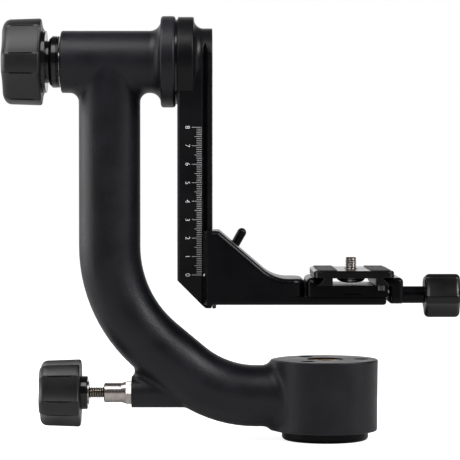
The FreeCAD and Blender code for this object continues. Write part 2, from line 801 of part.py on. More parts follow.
def make_pan_spindle():
    """Steel spindle: foot in the base plate, flange on it, shaft up through the bushes."""
    body = turned("pan_spindle", "Z", [
        (0, 0),
        (0, S.spigot_radius),
        (S.base_thickness, S.spigot_radius),
        (S.base_thickness, S.spindle_flange_radius),
        (flange_top, S.spindle_flange_radius),
        (flange_top, S.spindle_radius),
        (spindle_top, S.spindle_radius),
        (spindle_top, 0),
    ])
    cut_disc(body, "XY_Plane", 0, S.tripod_thread_depth, 0, 0, S.tripod_thread_radius)
    x, y = ring_points(S.base_screw_circle, 0.5, 1)
    hole = cut_disc(body, "XY_Plane", S.base_thickness, flange_top, x, y, S.base_screw_radius + S.run_gap)
    repeat(body, hole, "N_Axis", S.base_screw_count)
    depth = cap_top - S.cap_recess - S.cap_screw_head_height - S.cap_screw_length
    cut_disc(body, "XY_Plane", depth - S.overrun, spindle_top, 0, 0, S.cap_screw_radius + S.run_gap)


def make_spindle_screws():
    """Three screws that hold the base plate to the spindle."""
    head = S.base_screw_head_radius - S.base_screw_radius
    shapes = []
    for step in range(3):
        x, y = ring_points(S.base_screw_circle, step + 1.5, S.base_screw_count)
        shapes.append(rod("spindle_screw", S.base_screw_radius, S.base_screw_length, x, y, 0))
        shapes.append(rod("spindle_screw_head", S.base_screw_head_radius, head, x, y, 0))
    fused("spindle_screws", shapes)


def make_spindle_cap():
    """Bronze cap on the spindle, which keeps the hub down."""
    head_seat = cap_top - S.cap_recess - S.cap_screw_head_height
    hole = S.cap_screw_radius + S.run_gap
    sink = S.cap_screw_head_radius + S.free_gap
    turned("spindle_cap", "Z", [
        (spindle_top, hole),
        (head_seat, hole),
        (head_seat, sink),
        (cap_top, sink),
        (cap_top, S.cap_radius),
        (spindle_top, S.cap_radius),
    ])


def make_cap_screw():
    """Socket screw down the middle of the spindle."""
    head_top = cap_top - S.cap_recess
    head_seat = head_top - S.cap_screw_head_height
    body = turned("cap_screw", "Z", [
        (head_seat - S.cap_screw_length, 0),
        (head_seat - S.cap_screw_length, S.cap_screw_radius),
        (head_seat, S.cap_screw_radius),
        (head_seat, S.cap_screw_head_radius),
        (head_top, S.cap_screw_head_radius),
        (head_top, 0),
    ])
    cut(body, "XY_Plane", head_top - S.cap_screw_socket_depth, head_top,
        hexagon_points(0, 0, S.cap_screw_socket))


# ---------------------------------------------------------------- arm

def tube_path(sketch, start_height, end_x):
    """Axis of the J-shaped tube: down, an upper bend, a slanted run, a lower bend, and level."""
    turn_sine = sine(S.bend_angle)
    turn_cosine = cosine(S.bend_angle)
    lower_start_z = S.foot_height + S.lower_bend * (1 - turn_sine)
    upper_end_z = lower_start_z + S.bend_run * turn_cosine
    upper_start_z = upper_end_z + S.upper_bend * turn_sine
    upper_end_x = arm_x + S.upper_bend * (1 - turn_cosine)
    lower_start_x = upper_end_x + S.bend_run * turn_sine
    lower_end_x = lower_start_x + S.lower_bend * turn_cosine
    return draw_run(sketch, [
        (arm_x, start_height),
        (arm_x, upper_start_z),
        (upper_end_x, upper_end_z, S.upper_bend),
        (lower_start_x, lower_start_z),
        (lower_end_x, S.foot_height, S.lower_bend),
        (end_x, S.foot_height),
    ], closed=False)


def pipe(body, kind, radius, start_height, end_x):
    """A round section carried along the tube's axis, added or taken away."""
    path = new_sketch(body, "XZ_Plane")
    edges = tube_path(path, start_height, end_x)
    section = new_sketch(body, "XY_Plane", start_height)
    draw_circle(section, arm_x, 0, radius)
    feature = body.newObject("PartDesign::" + kind, body.Name + "_" + kind.lower())
    feature.Profile = section
    feature.Spine = (path, edges)
    path.Visibility = False
    section.Visibility = False
    return feature


def make_main_arm():
    """The cast arm: hub, J-shaped tube, barrel with its flange, and boss for the pan lock."""
    body = new_body("main_arm")
    pipe(body, "AdditivePipe", S.tube_radius, S.tilt_height, tube_end)
    doc.recompute()
    flange_left = barrel_right - S.flange_thickness
    edge = S.barrel_edge_round
    spin(body, "X", [
        (barrel_left, 0),
        (barrel_right, 0),
        (barrel_right, S.flange_radius - S.flange_edge_round),
        (barrel_right - S.flange_edge_round, S.flange_radius, S.flange_edge_round),
        (flange_left + S.flange_edge_round, S.flange_radius),
        (flange_left, S.flange_radius - S.flange_edge_round, S.flange_edge_round),
        (flange_left, S.barrel_radius + S.flange_blend),
        (flange_left - S.flange_blend, S.barrel_radius, -S.flange_blend),
        (barrel_left + edge, S.barrel_radius),
        (barrel_left, S.barrel_radius - edge, edge),
    ], rise=S.tilt_height)
    blend_tube_to_barrel(body)
    add_hub(body)
    add_boss(body)
    hollow_top = S.tilt_height - S.barrel_radius - S.tube_wall
    checked_cut(body, lambda: pipe(
        body, "SubtractivePipe", S.tube_radius - S.tube_wall, hollow_top, tube_end))
    bore_hub(body)
    cut_disc(body, "YZ_Plane", barrel_left, barrel_right, 0, S.tilt_height, S.barrel_bore)
    rod_hole = S.push_rod_radius + S.free_gap
    cut_disc(body, "YZ_Plane", boss_left, -S.hub_bore_radius, 0, S.lock_height, rod_hole)
    spigot_right = boss_left + S.sleeve_spigot_length
    cut_disc(body, "YZ_Plane", boss_left, spigot_right, 0, S.lock_height, S.sleeve_spigot_radius)


def blend_tube_to_barrel(body):
    """Concave blend where the upright tube runs into the barrel."""
    low = S.tilt_height - S.barrel_radius
    wall = S.tube_radius.value + 0.5

    def at_the_joint(box):
        under_barrel = box.ZMin > low.value - 0.5 and box.ZMax < S.tilt_height.value
        return under_barrel and abs(box.Center.x - arm_x.value) < wall and box.XLength > 1

    rounded_edges(body, "Fillet", S.tube_blend, at_the_joint)


def add_hub(body):
    """Hub round the pan axis: made too tall, blended into the tube and cut off level at both ends."""
    spare = 2 * S.hub_blend
    flare = spare * S.hub_draft / S.hub_height
    spin(body, "Z", [
        (hub_bottom - spare, 0),
        (hub_top + spare, 0),
        (hub_top + spare, S.hub_radius + flare),
        (hub_bottom - spare, S.hub_radius - S.hub_draft - flare),
    ])

    def at_the_tube(box):
        bent = min(box.XLength, box.YLength, box.ZLength) > 0.1
        beside_hub = box.XMin > -(S.hub_radius + S.overrun).value and box.XMax < -S.tube_radius.value
        return bent and beside_hub

    rounded_edges(body, "Fillet", S.hub_blend, at_the_tube)
    reach = S.hub_radius + S.hub_blend + S.overrun
    square = box_points(-reach, reach, -reach, reach)
    cut(body, "XY_Plane", hub_top, hub_top + spare + S.overrun, square)
    cut(body, "XY_Plane", hub_bottom - spare - S.overrun, hub_bottom, square)

    def rim(box):
        level = box.ZLength < 0.01 and box.XLength > 1
        return level and (near(box.ZMin, hub_top) or near(box.ZMin, hub_bottom))

    rounded_edges(body, "Fillet", S.hub_edge_round, rim)


def add_boss(body):
    """Boss for the pan lock: made too long, blended into the tube and cut off level at its face."""
    spare = 3 * S.boss_blend
    pad_disc(body, "YZ_Plane", boss_left - spare, boss_left + S.boss_depth, 0, S.lock_height, S.boss_radius)

    def at_the_tube(box):
        bent = min(box.XLength, box.YLength, box.ZLength) > 0.1
        beside_axis = abs(box.Center.z - S.lock_height.value) < S.boss_radius.value
        return bent and beside_axis and box.YMax < S.boss_radius.value + 0.1 and box.XMax < -S.hub_radius.value

    rounded_edges(body, "Fillet", S.boss_blend, at_the_tube)
    reach = S.boss_radius + S.boss_blend
    cut(body, "YZ_Plane", boss_left - spare - S.overrun, boss_left,
        box_points(-reach, reach, S.lock_height - reach, S.lock_height + reach))


def bore_hub(body):
    """Bore for the bearing housing, the window for the cap and the three screw holes."""
    cut_disc(body, "XY_Plane", hub_bottom, roof_bottom, 0, 0, S.hub_bore_radius)
    cut_disc(body, "XY_Plane", roof_bottom, hub_top, 0, 0, S.cap_radius + S.face_gap)
    x, y = ring_points(S.hub_screw_circle, 0, 1)
    hole = cut_disc(body, "XY_Plane", roof_bottom, hub_top, x, y, S.hub_screw_radius + S.face_gap)
    repeat(body, hole, "N_Axis", S.hub_screw_count)
    sink = cut_disc(body, "XY_Plane", screw_seat, hub_top, x, y, S.hub_counterbore_radius)
    repeat(body, sink, "N_Axis", S.hub_screw_count)


def make_pan_housing():
    """Bearing housing inside the hub, with a slide for the brake shoe."""
    inner = bush_outer
    body = turned("pan_housing", "Z", [
        (housing_floor, inner),
        (roof_bottom - S.bush_flange_thickness, inner),
        (roof_bottom - S.bush_flange_thickness, S.bush_flange_radius),
        (roof_bottom, S.bush_flange_radius),
        (roof_bottom, S.hub_bore_radius),
        (hub_bottom, S.hub_bore_radius),
        (hub_bottom, S.spindle_flange_radius + S.free_gap),
        (housing_floor, S.spindle_flange_radius + S.free_gap),
    ])
    x, y = ring_points(S.hub_screw_circle, 0, 1)
    depth = screw_seat - S.hub_screw_length - S.overrun
    hole = cut_disc(body, "XY_Plane", depth, roof_bottom, x, y, S.hub_screw_radius + S.face_gap)
    repeat(body, hole, "N_Axis", S.hub_screw_count)
    rod_hole = S.push_rod_radius + S.free_gap
    cut_disc(body, "YZ_Plane", -S.hub_bore_radius, S.overrun - inner, 0, S.lock_height, rod_hole)
    slide_left = shoe_back - S.pan_lock_back
    cut_disc(body, "YZ_Plane", slide_left, 0, 0, S.lock_height, S.shoe_radius + S.run_gap)


def make_pan_bushes():
    flange_low = roof_bottom - S.bush_flange_thickness
    turned("pan_bush_upper", "Z", [
        (roof_bottom - S.pan_bush_length, spindle_bore),
        (roof_bottom, spindle_bore),
        (roof_bottom, S.bush_flange_radius),
        (flange_low, S.bush_flange_radius),
        (flange_low, bush_outer),
        (roof_bottom - S.pan_bush_length, bush_outer),
    ])
    tube("pan_bush_lower", "Z", housing_floor, housing_floor + S.pan_bush_length, spindle_bore, bush_outer)
    tube("pan_thrust_washer", "Z", washer_bottom, housing_floor, S.thrust_washer_inner,
         S.thrust_washer_outer)


def make_hub_screws():
    """Three socket screws in the top of the hub."""
    shapes = []
    for step in range(3):
        x, y = ring_points(S.hub_screw_circle, step, S.hub_screw_count)
        low = screw_seat - S.hub_screw_length
        shapes.append(rod("hub_screw", S.hub_screw_radius, S.hub_screw_length, x, y, low))
        head = rod("hub_screw_head", S.hub_screw_head_radius, S.hub_screw_head_height, x, y, screw_seat)
        socket_floor = screw_seat + S.hub_screw_socket_rise
        socket = rod("hub_screw_socket", S.hub_screw_radius, S.hub_screw_head_height, x, y, socket_floor)
        drilled = doc.addObject("Part::Cut", "hub_screw_drilled")
        drilled.Base = head
        drilled.Tool = socket
        shapes.append(drilled)
    fused("hub_screws", shapes)


def make_tilt_bearing():
    """Two bushes in the barrel, the ring against the swing arm and the friction washer."""
    height = S.tilt_height
    front_left = barrel_right - S.front_bush_length
    rear_right = barrel_left + S.rear_bush_length
    tube("tilt_bush_front", "X", front_left, barrel_right, shaft_bore, S.barrel_bore, height)
    tube("tilt_bush_rear", "X", barrel_left, rear_right, shaft_bore, S.barrel_bore, height)
    wide_bore = S.tilt_shaft_radius + S.free_gap
    tube("tilt_thrust_ring", "X", barrel_right, ring_right, wide_bore, S.thrust_ring_radius, height)
    tube("tilt_friction_washer", "X", friction_left, barrel_left, wide_bore, S.friction_washer_radius,
         height)


def make_pan_lock_sleeve():
    """Stainless sleeve screwed into the boss: hexagon, cone, round body and a threaded foot."""
    bore = S.lock_screw_radius + S.run_gap
    body = turned("pan_lock_sleeve", "X", [
        (sleeve_left, bore),
        (boss_left + S.sleeve_spigot_length, bore),
        (boss_left + S.sleeve_spigot_length, S.sleeve_spigot_radius),
        (hex_left, S.sleeve_spigot_radius),
        (hex_left, S.hex_radius - S.hex_step),
        (hex_left - S.sleeve_cone, S.sleeve_radius),
        (sleeve_left + S.small_edge, S.sleeve_radius),
        (sleeve_left, S.sleeve_radius - S.small_edge),
    ], S.lock_height)
    flats = S.hex_radius * math.cos(math.pi / 6)

    def hexagon(sketch):
        draw_run(sketch, hexagon_points(0, 0, flats))
        draw_circle(sketch, 0, 0, bore)

    shaped(body, "Pad", "YZ_Plane", hex_left, boss_left, hexagon)


# ---------------------------------------------------------------- knobs

def lobed_grip(label, height, right, length, radius, taper, rounding, core, cap, turn, valley):
    """A moulded grip with lobes: a turned blank with a blind bore, hollowed between the lobes.

    core is (radius, depth) of the metal core's bore, cap the radius of the recess in the outer
    end, turn the angle of the first lobe and valley the depth of a hollow.
    """
    left = right - length
    outer = radius - taper
    body = turned(label, "X", [
        (left + S.cap_thickness, 0),
        (right - core[1], 0),
        (right - core[1], core[0]),
        (right, core[0]),
        (right, radius),
        (left + rounding, outer),
        (left, outer - rounding, rounding),
        (left, cap),
        (left + S.cap_thickness, cap),
    ], height)
    half = S.valley_angle / 2
    chord = radius * sine(half)
    sag = radius * cosine(half) - (radius - valley)
    cutter = (chord * chord + sag * sag) / (2 * sag)
    distance = radius - valley + cutter
    angle = turn + Size(180) / S.lobe_count
    y = -(distance * cosine(angle))
    z = distance * sine(angle)
    hollow = cut_disc(body, "YZ_Plane", left - S.overrun, right + S.overrun, y, z, cutter)
    repeat(body, hollow, "N_Axis", S.lobe_count)


def make_tilt_knob():
    """Knob that clamps the tilt axis, on its threaded core, with its flange ring and end cap."""
    height = S.tilt_height
    turned("tilt_collar", "X", [
        (collar_left, shaft_bore),
        (collar_right, shaft_bore),
        (collar_right, S.collar_radius - S.collar_groove),
        (collar_right - S.collar_groove, S.collar_radius),
        (collar_right - 2 * S.collar_groove, S.collar_radius),
        (collar_right - 3 * S.collar_groove, S.collar_radius - S.collar_groove),
        (collar_right - 4 * S.collar_groove, S.collar_radius),
        (collar_left + S.collar_bevel, S.collar_radius),
        (collar_left, S.collar_radius - S.collar_bevel),
    ], height)
    bore = S.tilt_stud_radius + S.run_gap
    clear = S.tilt_shaft_radius + S.free_gap
    clear_left = shaft_left - 3 * S.tilt_lock_gap
    turned("tilt_knob_core", "X", [
        (tilt_core_left, bore),
        (clear_left, bore),
        (clear_left, clear),
        (tilt_core_right, clear),
        (tilt_core_right, S.tilt_core_radius),
        (tilt_core_left, S.tilt_core_radius),
    ], height)
    tube("tilt_knob_flange", "X", tilt_grip_right, tilt_ring_right, S.tilt_core_radius,
         S.tilt_ring_radius, height)
    lobed_grip("tilt_knob_grip", height, tilt_grip_right, S.tilt_grip_length, S.tilt_grip_radius,
               S.tilt_grip_taper, S.tilt_grip_round, (S.tilt_core_radius, S.tilt_core_depth),
               S.tilt_cap_radius, S.tilt_lobe_turn, S.tilt_valley_depth)
    turned("tilt_knob_cap", "X", [
        (tilt_grip_left, 0),
        (tilt_grip_left + S.cap_thickness, 0),
        (tilt_grip_left + S.cap_thickness, S.tilt_cap_radius),
        (tilt_grip_left, S.tilt_cap_radius),
    ], height)


def make_pan_knob():
    """Knob of the pan lock, with its core, washer, screw and end cap."""
    height = S.lock_height
    screw_left = lock_washer_right - S.lock_screw_root
    bore = S.lock_screw_radius
    turned("pan_knob_core", "X", [
        (pan_core_left, 0),
        (screw_left, 0),
        (screw_left, bore),
        (pan_core_right, bore),
        (pan_core_right, S.pan_core_radius - S.small_edge),
        (pan_core_right - S.small_edge, S.pan_core_radius),
        (pan_core_left, S.pan_core_radius),
    ], height)
    tube("pan_knob_washer", "X", pan_core_right, lock_washer_right, bore, S.lock_washer_radius, height)
    turned("pan_lock_screw", "X", [
        (screw_left, 0),
        (lock_screw_tip, 0),
        (lock_screw_tip, S.lock_screw_radius - S.small_edge),
        (lock_screw_tip - S.small_edge, S.lock_screw_radius),
        (screw_left, S.lock_screw_radius),
    ], height)
    lobed_grip("pan_knob_grip", height, pan_grip_right, S.pan_grip_length, S.pan_grip_radius,
               S.pan_grip_taper, S.pan_grip_round, (S.pan_core_radius, S.pan_core_depth),
               S.pan_cap_radius, S.pan_lobe_turn, S.pan_valley_depth)
    turned("pan_knob_cap", "X", [
        (pan_grip_left, 0),
        (pan_grip_left + S.cap_thickness, 0),
        (pan_grip_left + S.cap_thickness, S.pan_cap_radius),
        (pan_grip_left, S.pan_cap_radius),
    ], height)


def make_pan_pusher():
    """Rod along the foot of the arm and the shoe that it presses on the spindle."""
    rod_left = lock_screw_tip + S.face_gap
    rod_length = shoe_back - rod_left
    pusher = rod("pan_push_rod", S.push_rod_radius, rod_length, rod_left, 0, S.lock_height, "X")
    single("pan_push_rod", pusher)
    body = new_body("pan_brake_shoe", S.lock_height)
    spin(body, "X", [
        (shoe_back, 0),
        (shoe_tip, 0),
        (shoe_tip, S.shoe_radius - S.small_edge),
        (shoe_tip - S.small_edge, S.shoe_radius),
        (shoe_back, S.shoe_radius),
    ])


# ---------------------------------------------------------------- swing arm

def make_swing_arm():
    """Hub disc on the tilt axis and a slab below it, with a dovetail down its right side."""
    body = new_body("swing_arm")
    disc_right = swing_left + S.hub_disc_depth
    nose_start = disc_right + S.hub_nose_blend
    step = S.hub_disc_radius - S.hub_nose_radius
    edge = S.hub_disc_edge
    spin(body, "X", [
        (swing_left, 0),
        (lip_right, 0),
        (lip_right, S.hub_nose_radius - edge),
        (lip_right - edge, S.hub_nose_radius, edge),
        (nose_start, S.hub_nose_radius),
        (disc_right, S.hub_nose_radius + S.hub_nose_blend, -S.hub_nose_blend),
        (disc_right, S.hub_disc_radius - (step - S.hub_nose_blend) / 2),
        (disc_right - edge, S.hub_disc_radius, 2 * edge),
        (swing_left + edge, S.hub_disc_radius),
        (swing_left, S.hub_disc_radius - edge, edge),
    ], rise=S.tilt_height)
    edge = S.slab_edge
    pad(body, "XY_Plane", swing_bottom, S.tilt_height, [
        (swing_left + edge, -S.slab_half),
        (lip_right, -S.slab_half),
        (lip_right, S.slab_half),
        (swing_left + edge, S.slab_half),
        (swing_left, S.slab_half - edge),
        (swing_left, -(S.slab_half - edge)),
    ])
    foot_x = swing_left + S.foot_chamfer
    cut(body, "XZ_Plane", -S.slab_half, S.slab_half, [
        (swing_left, swing_bottom),
        (foot_x, swing_bottom),
        (swing_left, swing_bottom + S.foot_chamfer),
    ])
    cut(body, "XZ_Plane", -S.slab_half, S.slab_half, [
        (lip_right, swing_bottom),
        (lip_right, swing_bottom + S.foot_edge),
        (lip_right - S.foot_edge, swing_bottom),
    ])
    for side in (-1, 1):
        cut_side_groove(body, side)
    cut_disc(body, "YZ_Plane", swing_left, seat_right, 0, S.tilt_height, S.tilt_shaft_radius)
    head_left = lip_right - S.shaft_bolt_head_height
    hole = S.shaft_bolt_radius + S.face_gap
    cut_disc(body, "YZ_Plane", seat_right, lip_right, 0, S.tilt_height, hole)
    sink = S.shaft_bolt_head_radius + S.face_gap
    cut_disc(body, "YZ_Plane", head_left, lip_right, 0, S.tilt_height, sink)
    screw_left = lip_right + S.stop_screw_head_height - S.stop_screw_length
    cut_disc(body, "YZ_Plane", screw_left, lip_right, 0, stop_screw_height, S.stop_screw_radius)


def cut_side_groove(body, side):
    """V-shaped groove down one side of the slab, which leaves the dovetail lip."""
    cut(body, "XY_Plane", swing_bottom - S.overrun, S.tilt_height + S.groove_rise, [
        (slab_right, side * S.slab_half),
        (groove_middle, side * S.neck_half),
        (lip_left, side * S.lip_half),
        (lip_right + S.overrun, side * S.lip_half),
        (lip_right + S.overrun, side * (S.slab_half + S.overrun)),
        (slab_right, side * (S.slab_half + S.overrun)),
    ][::side])


def make_tilt_shaft():
    """Steel shaft from the swing arm through the barrel, with a threaded stud for the knob."""
    stud_left = shaft_left - S.tilt_stud_length
    bolt_hole = S.shaft_bolt_radius + S.run_gap
    depth = lip_right - S.shaft_bolt_head_height - S.shaft_bolt_length - S.overrun
    turned("tilt_shaft", "X", [
        (stud_left, 0),
        (depth, 0),
        (depth, bolt_hole),
        (seat_right, bolt_hole),
        (seat_right, S.tilt_shaft_radius),
        (shaft_left, S.tilt_shaft_radius),
        (shaft_left, S.tilt_stud_radius),
        (stud_left, S.tilt_stud_radius),
    ], S.tilt_height)


def make_shaft_bolt():
    """Socket bolt that holds the swing arm on its shaft."""
    head_left = lip_right - S.shaft_bolt_head_height
    head_right = lip_right - S.shaft_bolt_recess
    body = turned("shaft_bolt", "X", [
        (head_left - S.shaft_bolt_length, 0),
        (head_right, 0),
        (head_right, S.shaft_bolt_head_radius - S.small_edge),
        (head_right - S.small_edge, S.shaft_bolt_head_radius),
        (head_left, S.shaft_bolt_head_radius),
        (head_left, S.shaft_bolt_radius),
        (head_left - S.shaft_bolt_length, S.shaft_bolt_radius),
    ], S.tilt_height)
    cut(body, "YZ_Plane", head_right - S.shaft_bolt_socket_depth, head_right,
        hexagon_points(0, 0, S.shaft_bolt_socket))


def make_height_stop_screw():
    """Small screw in the lip that the bracket rests on at its lowest place."""
    head_right = lip_right + S.stop_screw_head_height
    body = turned("height_stop_screw", "X", [
        (head_right - S.stop_screw_length, 0),
        (head_right, 0),
        (head_right, S.stop_screw_head_radius - S.small_edge),
        (head_right - S.small_edge, S.stop_screw_head_radius),
        (lip_right, S.stop_screw_head_radius),
        (lip_right, S.stop_screw_radius),
        (head_right - S.stop_screw_length, S.stop_screw_radius),
    ], stop_screw_height)
    cut(body, "YZ_Plane", head_right - S.stop_screw_socket_depth, head_right,
        hexagon_points(0, 0, S.stop_screw_socket))


# ---------------------------------------------------------------- bracket

def slope_points():
    """Start and end of the blend from the slope to the block's top."""
    half_angle = S.slope_angle / 2
    reach = S.slope_blend * tangent(half_angle)
    fall = (bracket_top - block_top) / tangent(S.slope_angle)
    corner_x = crest_right + fall
    start = (corner_x - reach * cosine(S.slope_angle), block_top + reach * sine(S.slope_angle))
    end = (corner_x + reach, block_top)
    return start, end


def make_cradle_bracket():
    """Bracket that slides on the swing arm: sloping block, fixed front claw and thin platform."""
    body = new_body("cradle_bracket")
    start, end = slope_points()
    crest_cut = S.crest_round * tangent(S.slope_angle / 2)
    crest_end_x = crest_right + crest_cut * cosine(S.slope_angle)
    crest_end_z = bracket_top - crest_cut * sine(S.slope_angle)
    pad(body, "XZ_Plane", -S.bracket_half, S.bracket_half, [
        (channel_floor, bracket_bottom),
        (block_right, bracket_bottom),
        (block_right, block_top),
        end,
        (start[0], start[1], -S.slope_blend),
        (crest_end_x, crest_end_z),
        (crest_right - crest_cut, bracket_top, S.crest_round),
        (channel_floor, bracket_top),
    ])
    round_bracket(body)
    platform_left = block_right - S.block_corner - S.overrun
    pad(body, "XZ_Plane", -S.bracket_half, S.bracket_half, [
        (platform_left, bracket_bottom),
        (platform_right - S.platform_toe, bracket_bottom),
        (platform_right, bracket_bottom + S.platform_toe, S.platform_toe),
        (platform_right, platform_top),
        (platform_left, platform_top),
    ])
    round_platform(body)
    pad(body, "XY_Plane", bracket_bottom, bracket_top, claw_points(-1))
    screw_gap = S.stop_screw_head_radius + S.free_gap
    stop_floor = lip_right + S.stop_screw_head_height + S.free_gap
    cut(body, "XY_Plane", bracket_bottom, stop_screw_height + screw_gap,
        box_points(channel_floor - S.overrun, stop_floor, -screw_gap, screw_gap))
    cut(body, "XZ_Plane", S.lip_half + S.free_gap, S.bracket_half + S.overrun,
        box_points(channel_floor - S.overrun, height_jaw_right + S.free_gap,
                   height_jaw_low - S.free_gap, height_jaw_high + S.free_gap))
    screw_hole = S.lever_screw_radius + S.run_gap
    inner = claw_inner - S.lever_screw_reach
    cut_disc(body, "XZ_Plane", inner - S.overrun, S.lip_half + S.free_gap, lever_x, lever_z, screw_hole)
    spring_floor = claw_inner - S.lever_spring_depth
    cut_disc(body, "XZ_Plane", spring_floor, S.lip_half + S.free_gap, lever_x, lever_z,
             S.lever_spring_radius + S.free_gap)
    cut(body, "XY_Plane", bracket_bottom - S.overrun, platform_top + S.overrun,
        box_points(keel_left - S.free_gap, platform_right + S.overrun,
                   -S.keel_half - S.free_gap, S.keel_half + S.free_gap))
    for x, y in clamp_screw_places():
        cut_disc(body, "XY_Plane", bracket_bottom, platform_top, x, y, S.clamp_screw_radius + S.face_gap)
        cut_disc(body, "XY_Plane", bracket_bottom, bracket_bottom + S.clamp_screw_head_height + S.face_gap,
                 x, y, S.clamp_screw_head_radius + S.face_gap)


def round_bracket(body):
    """Rounded long edges of the slope, and the block's rounded upright corners."""

    def long_edge(box):
        on_side = near(abs(box.Center.y), S.bracket_half) and box.YLength < 0.01
        return on_side and box.ZMax > block_top.value - 0.01 and box.XMin > channel_floor.value + 0.05 \
            and not box.ZMin < block_top.value - 0.01

    def corner(box):
        tall = box.ZLength > S.block_height.value / 2
        upright = near(box.XMin, block_right) and box.XLength < 0.01 and tall
        return upright and near(abs(box.Center.y), S.bracket_half)

    rounded_edges(body, "Fillet", S.block_corner, corner)

    def top_edge(box):
        outer = abs(box.Center.y) > S.bracket_half.value - S.block_corner.value
        above = box.ZMin > block_top.value - 0.01
        across = box.YLength > 2 * S.block_corner.value
        return outer and above and not across

    rounded_edges(body, "Fillet", S.bracket_edge_round, top_edge)


def round_platform(body):
    """Rounded corners at the free end of the platform."""

    def corner(box):
        upright = near(box.XMin, platform_right) and box.XLength < 0.01 and box.YLength < 0.01
        return upright and near(abs(box.Center.y), S.bracket_half)

    rounded_edges(body, "Fillet", S.platform_corner, corner)


def claw_points(side):
    """Section of a claw: its tip follows the groove, and its outer face slants back."""
    points = [
        (channel_floor, side * S.bracket_half),
        (slab_right + S.free_gap + S.claw_bevel, side * S.bracket_half),
        (slab_right + S.free_gap, side * S.slab_half),
        (groove_middle, side * (S.neck_half + S.claw_shift)),
        (lip_left, side * claw_inner),
        (channel_floor, side * claw_inner),
    ]
    return points[::-side]


def clamp_screw_places():
    """The four screws that hold the clamp body on the platform."""
    first = clamp_left + S.clamp_screw_inset
    for x in (first, first + S.clamp_screw_spacing):
        for side in (-1, 1):
            yield x, side * S.clamp_screw_offset


def make_height_clamp():
    """Moving claw at the back of the bracket, with its spring, screw, lever and cap."""
    jaw = new_body("height_clamp_jaw")
    pad(jaw, "XY_Plane", height_jaw_low, height_jaw_high, claw_points(1))
    pad(jaw, "XZ_Plane", claw_inner, S.bracket_half,
        box_points(channel_floor - S.overrun, height_jaw_right, height_jaw_low, height_jaw_high))
    hole = S.lever_screw_radius + S.run_gap
    cut_disc(jaw, "XZ_Plane", claw_inner, S.bracket_half, lever_x, lever_z, hole)
    spring_low = claw_inner - S.lever_spring_depth
    spring = rod("spring_coil", S.lever_spring_radius, S.lever_spring_depth,
                 lever_x, spring_low, lever_z, "Y")
    inside = rod("spring_hollow", S.lever_spring_radius - S.spring_wire, S.lever_spring_depth,
                 lever_x, spring_low, lever_z, "Y")
    without("height_jaw_spring", spring, [inside])
    hub_low = S.bracket_half + S.face_gap
    screw_low = claw_inner - S.lever_screw_reach
    screw_length = hub_low + S.lever_hub_height - screw_low
    screw = rod("lever_screw", S.lever_screw_radius, screw_length, lever_x, screw_low, lever_z, "Y")
    single("lever_screw", screw)
    arm_y = S.lever_hub_height / 2
    hub = rod("lever_hub", S.lever_hub_radius, S.lever_hub_height, 0, 0, 0, "Y")
    arm = rod("lever_bar", S.lever_arm_radius, S.lever_arm_length, 0, arm_y, 0, "X")
    tip = place(primitive("Sphere", "lever_tip", Radius=S.lever_arm_radius), S.lever_arm_length, arm_y, 0)
    bore = rod("lever_bore", S.lever_screw_radius, S.lever_hub_height, 0, 0, 0, "Y")
    solid = doc.addObject("Part::MultiFuse", "lever_solid")
    solid.Shapes = [hub, arm, tip]
    lever = without("height_lever", solid, [bore])
    place(lever, lever_x, hub_low, lever_z, (0, 1, 0), -S.lever_angle)
    cap_low = hub_low + S.lever_hub_height
    cap = rod("lever_cap", S.lever_cap_radius, S.lever_cap_height, lever_x, cap_low, lever_z, "Y")
    single("lever_cap", cap)


# ---------------------------------------------------------------- quick-release clamp

def make_clamp_body():
    """Clamp body: fixed jaw at the left, floor, and a keel that holds the screw's thread."""
    body = new_body("clamp_body")
    foot_x = plate_x - S.plate_foot_half
    slant = foot_x - plate_bottom - S.plate_gap
    nose_x = slant + jaw_nose_bottom
    edge = S.clamp_round
    pad(body, "XZ_Plane", -S.clamp_half, S.clamp_half, [
        (clamp_left, clamp_bottom),
        (clamp_right, clamp_bottom),
        (clamp_right, clamp_floor_top),
        (slant + clamp_floor_top, clamp_floor_top),
        (nose_x, jaw_nose_bottom),
        (nose_x, clamp_top),
        (clamp_left + edge, clamp_top),
        (clamp_left, clamp_top - edge, edge),
    ])

    def left_corner(box):
        upright = near(box.XMin, clamp_left) and box.XLength < 0.01 and box.YLength < 0.01
        return upright and near(abs(box.Center.y), S.clamp_half)

    rounded_edges(body, "Fillet", S.clamp_corner, left_corner)
    pad(body, "XY_Plane", keel_bottom, clamp_bottom,
        box_points(keel_left, clamp_right, -S.keel_half, S.keel_half))
    screw_left = clamp_right - S.qr_screw_root - S.overrun
    cut_disc(body, "YZ_Plane", screw_left, clamp_right, 0, qr_axis, S.qr_screw_radius + S.run_gap)
    pin_left = clamp_right - S.guide_pin_root
    spring_left = clamp_right - S.jaw_spring_depth
    for side in (-1, 1):
        y = side * S.guide_pin_offset
        cut_disc(body, "YZ_Plane", pin_left, clamp_right, y, guide_pin_height, S.guide_pin_radius)
        cut_disc(body, "YZ_Plane", spring_left, clamp_right, y, guide_pin_height,
                 S.jaw_spring_radius + 2 * S.face_gap)
    for x, y in clamp_screw_places():
        top = bracket_bottom + S.clamp_screw_length
        cut_disc(body, "XY_Plane", clamp_bottom, top + S.free_gap, x, y, S.clamp_screw_radius + S.run_gap)
    cut_front_mark(body)


def cut_front_mark(body):
    """Shallow slot with round ends in the front of the clamp body."""
    middle = (clamp_bottom + clamp_floor_top) / 2 - S.clamp_mark_drop
    end = S.clamp_mark_height / 2
    reach = S.clamp_mark_half - end
    cut_slot(body, "XZ_Plane", -S.clamp_half, -S.clamp_half + S.clamp_mark_depth,
             (plate_x - reach, middle), (plate_x + reach, middle), end)


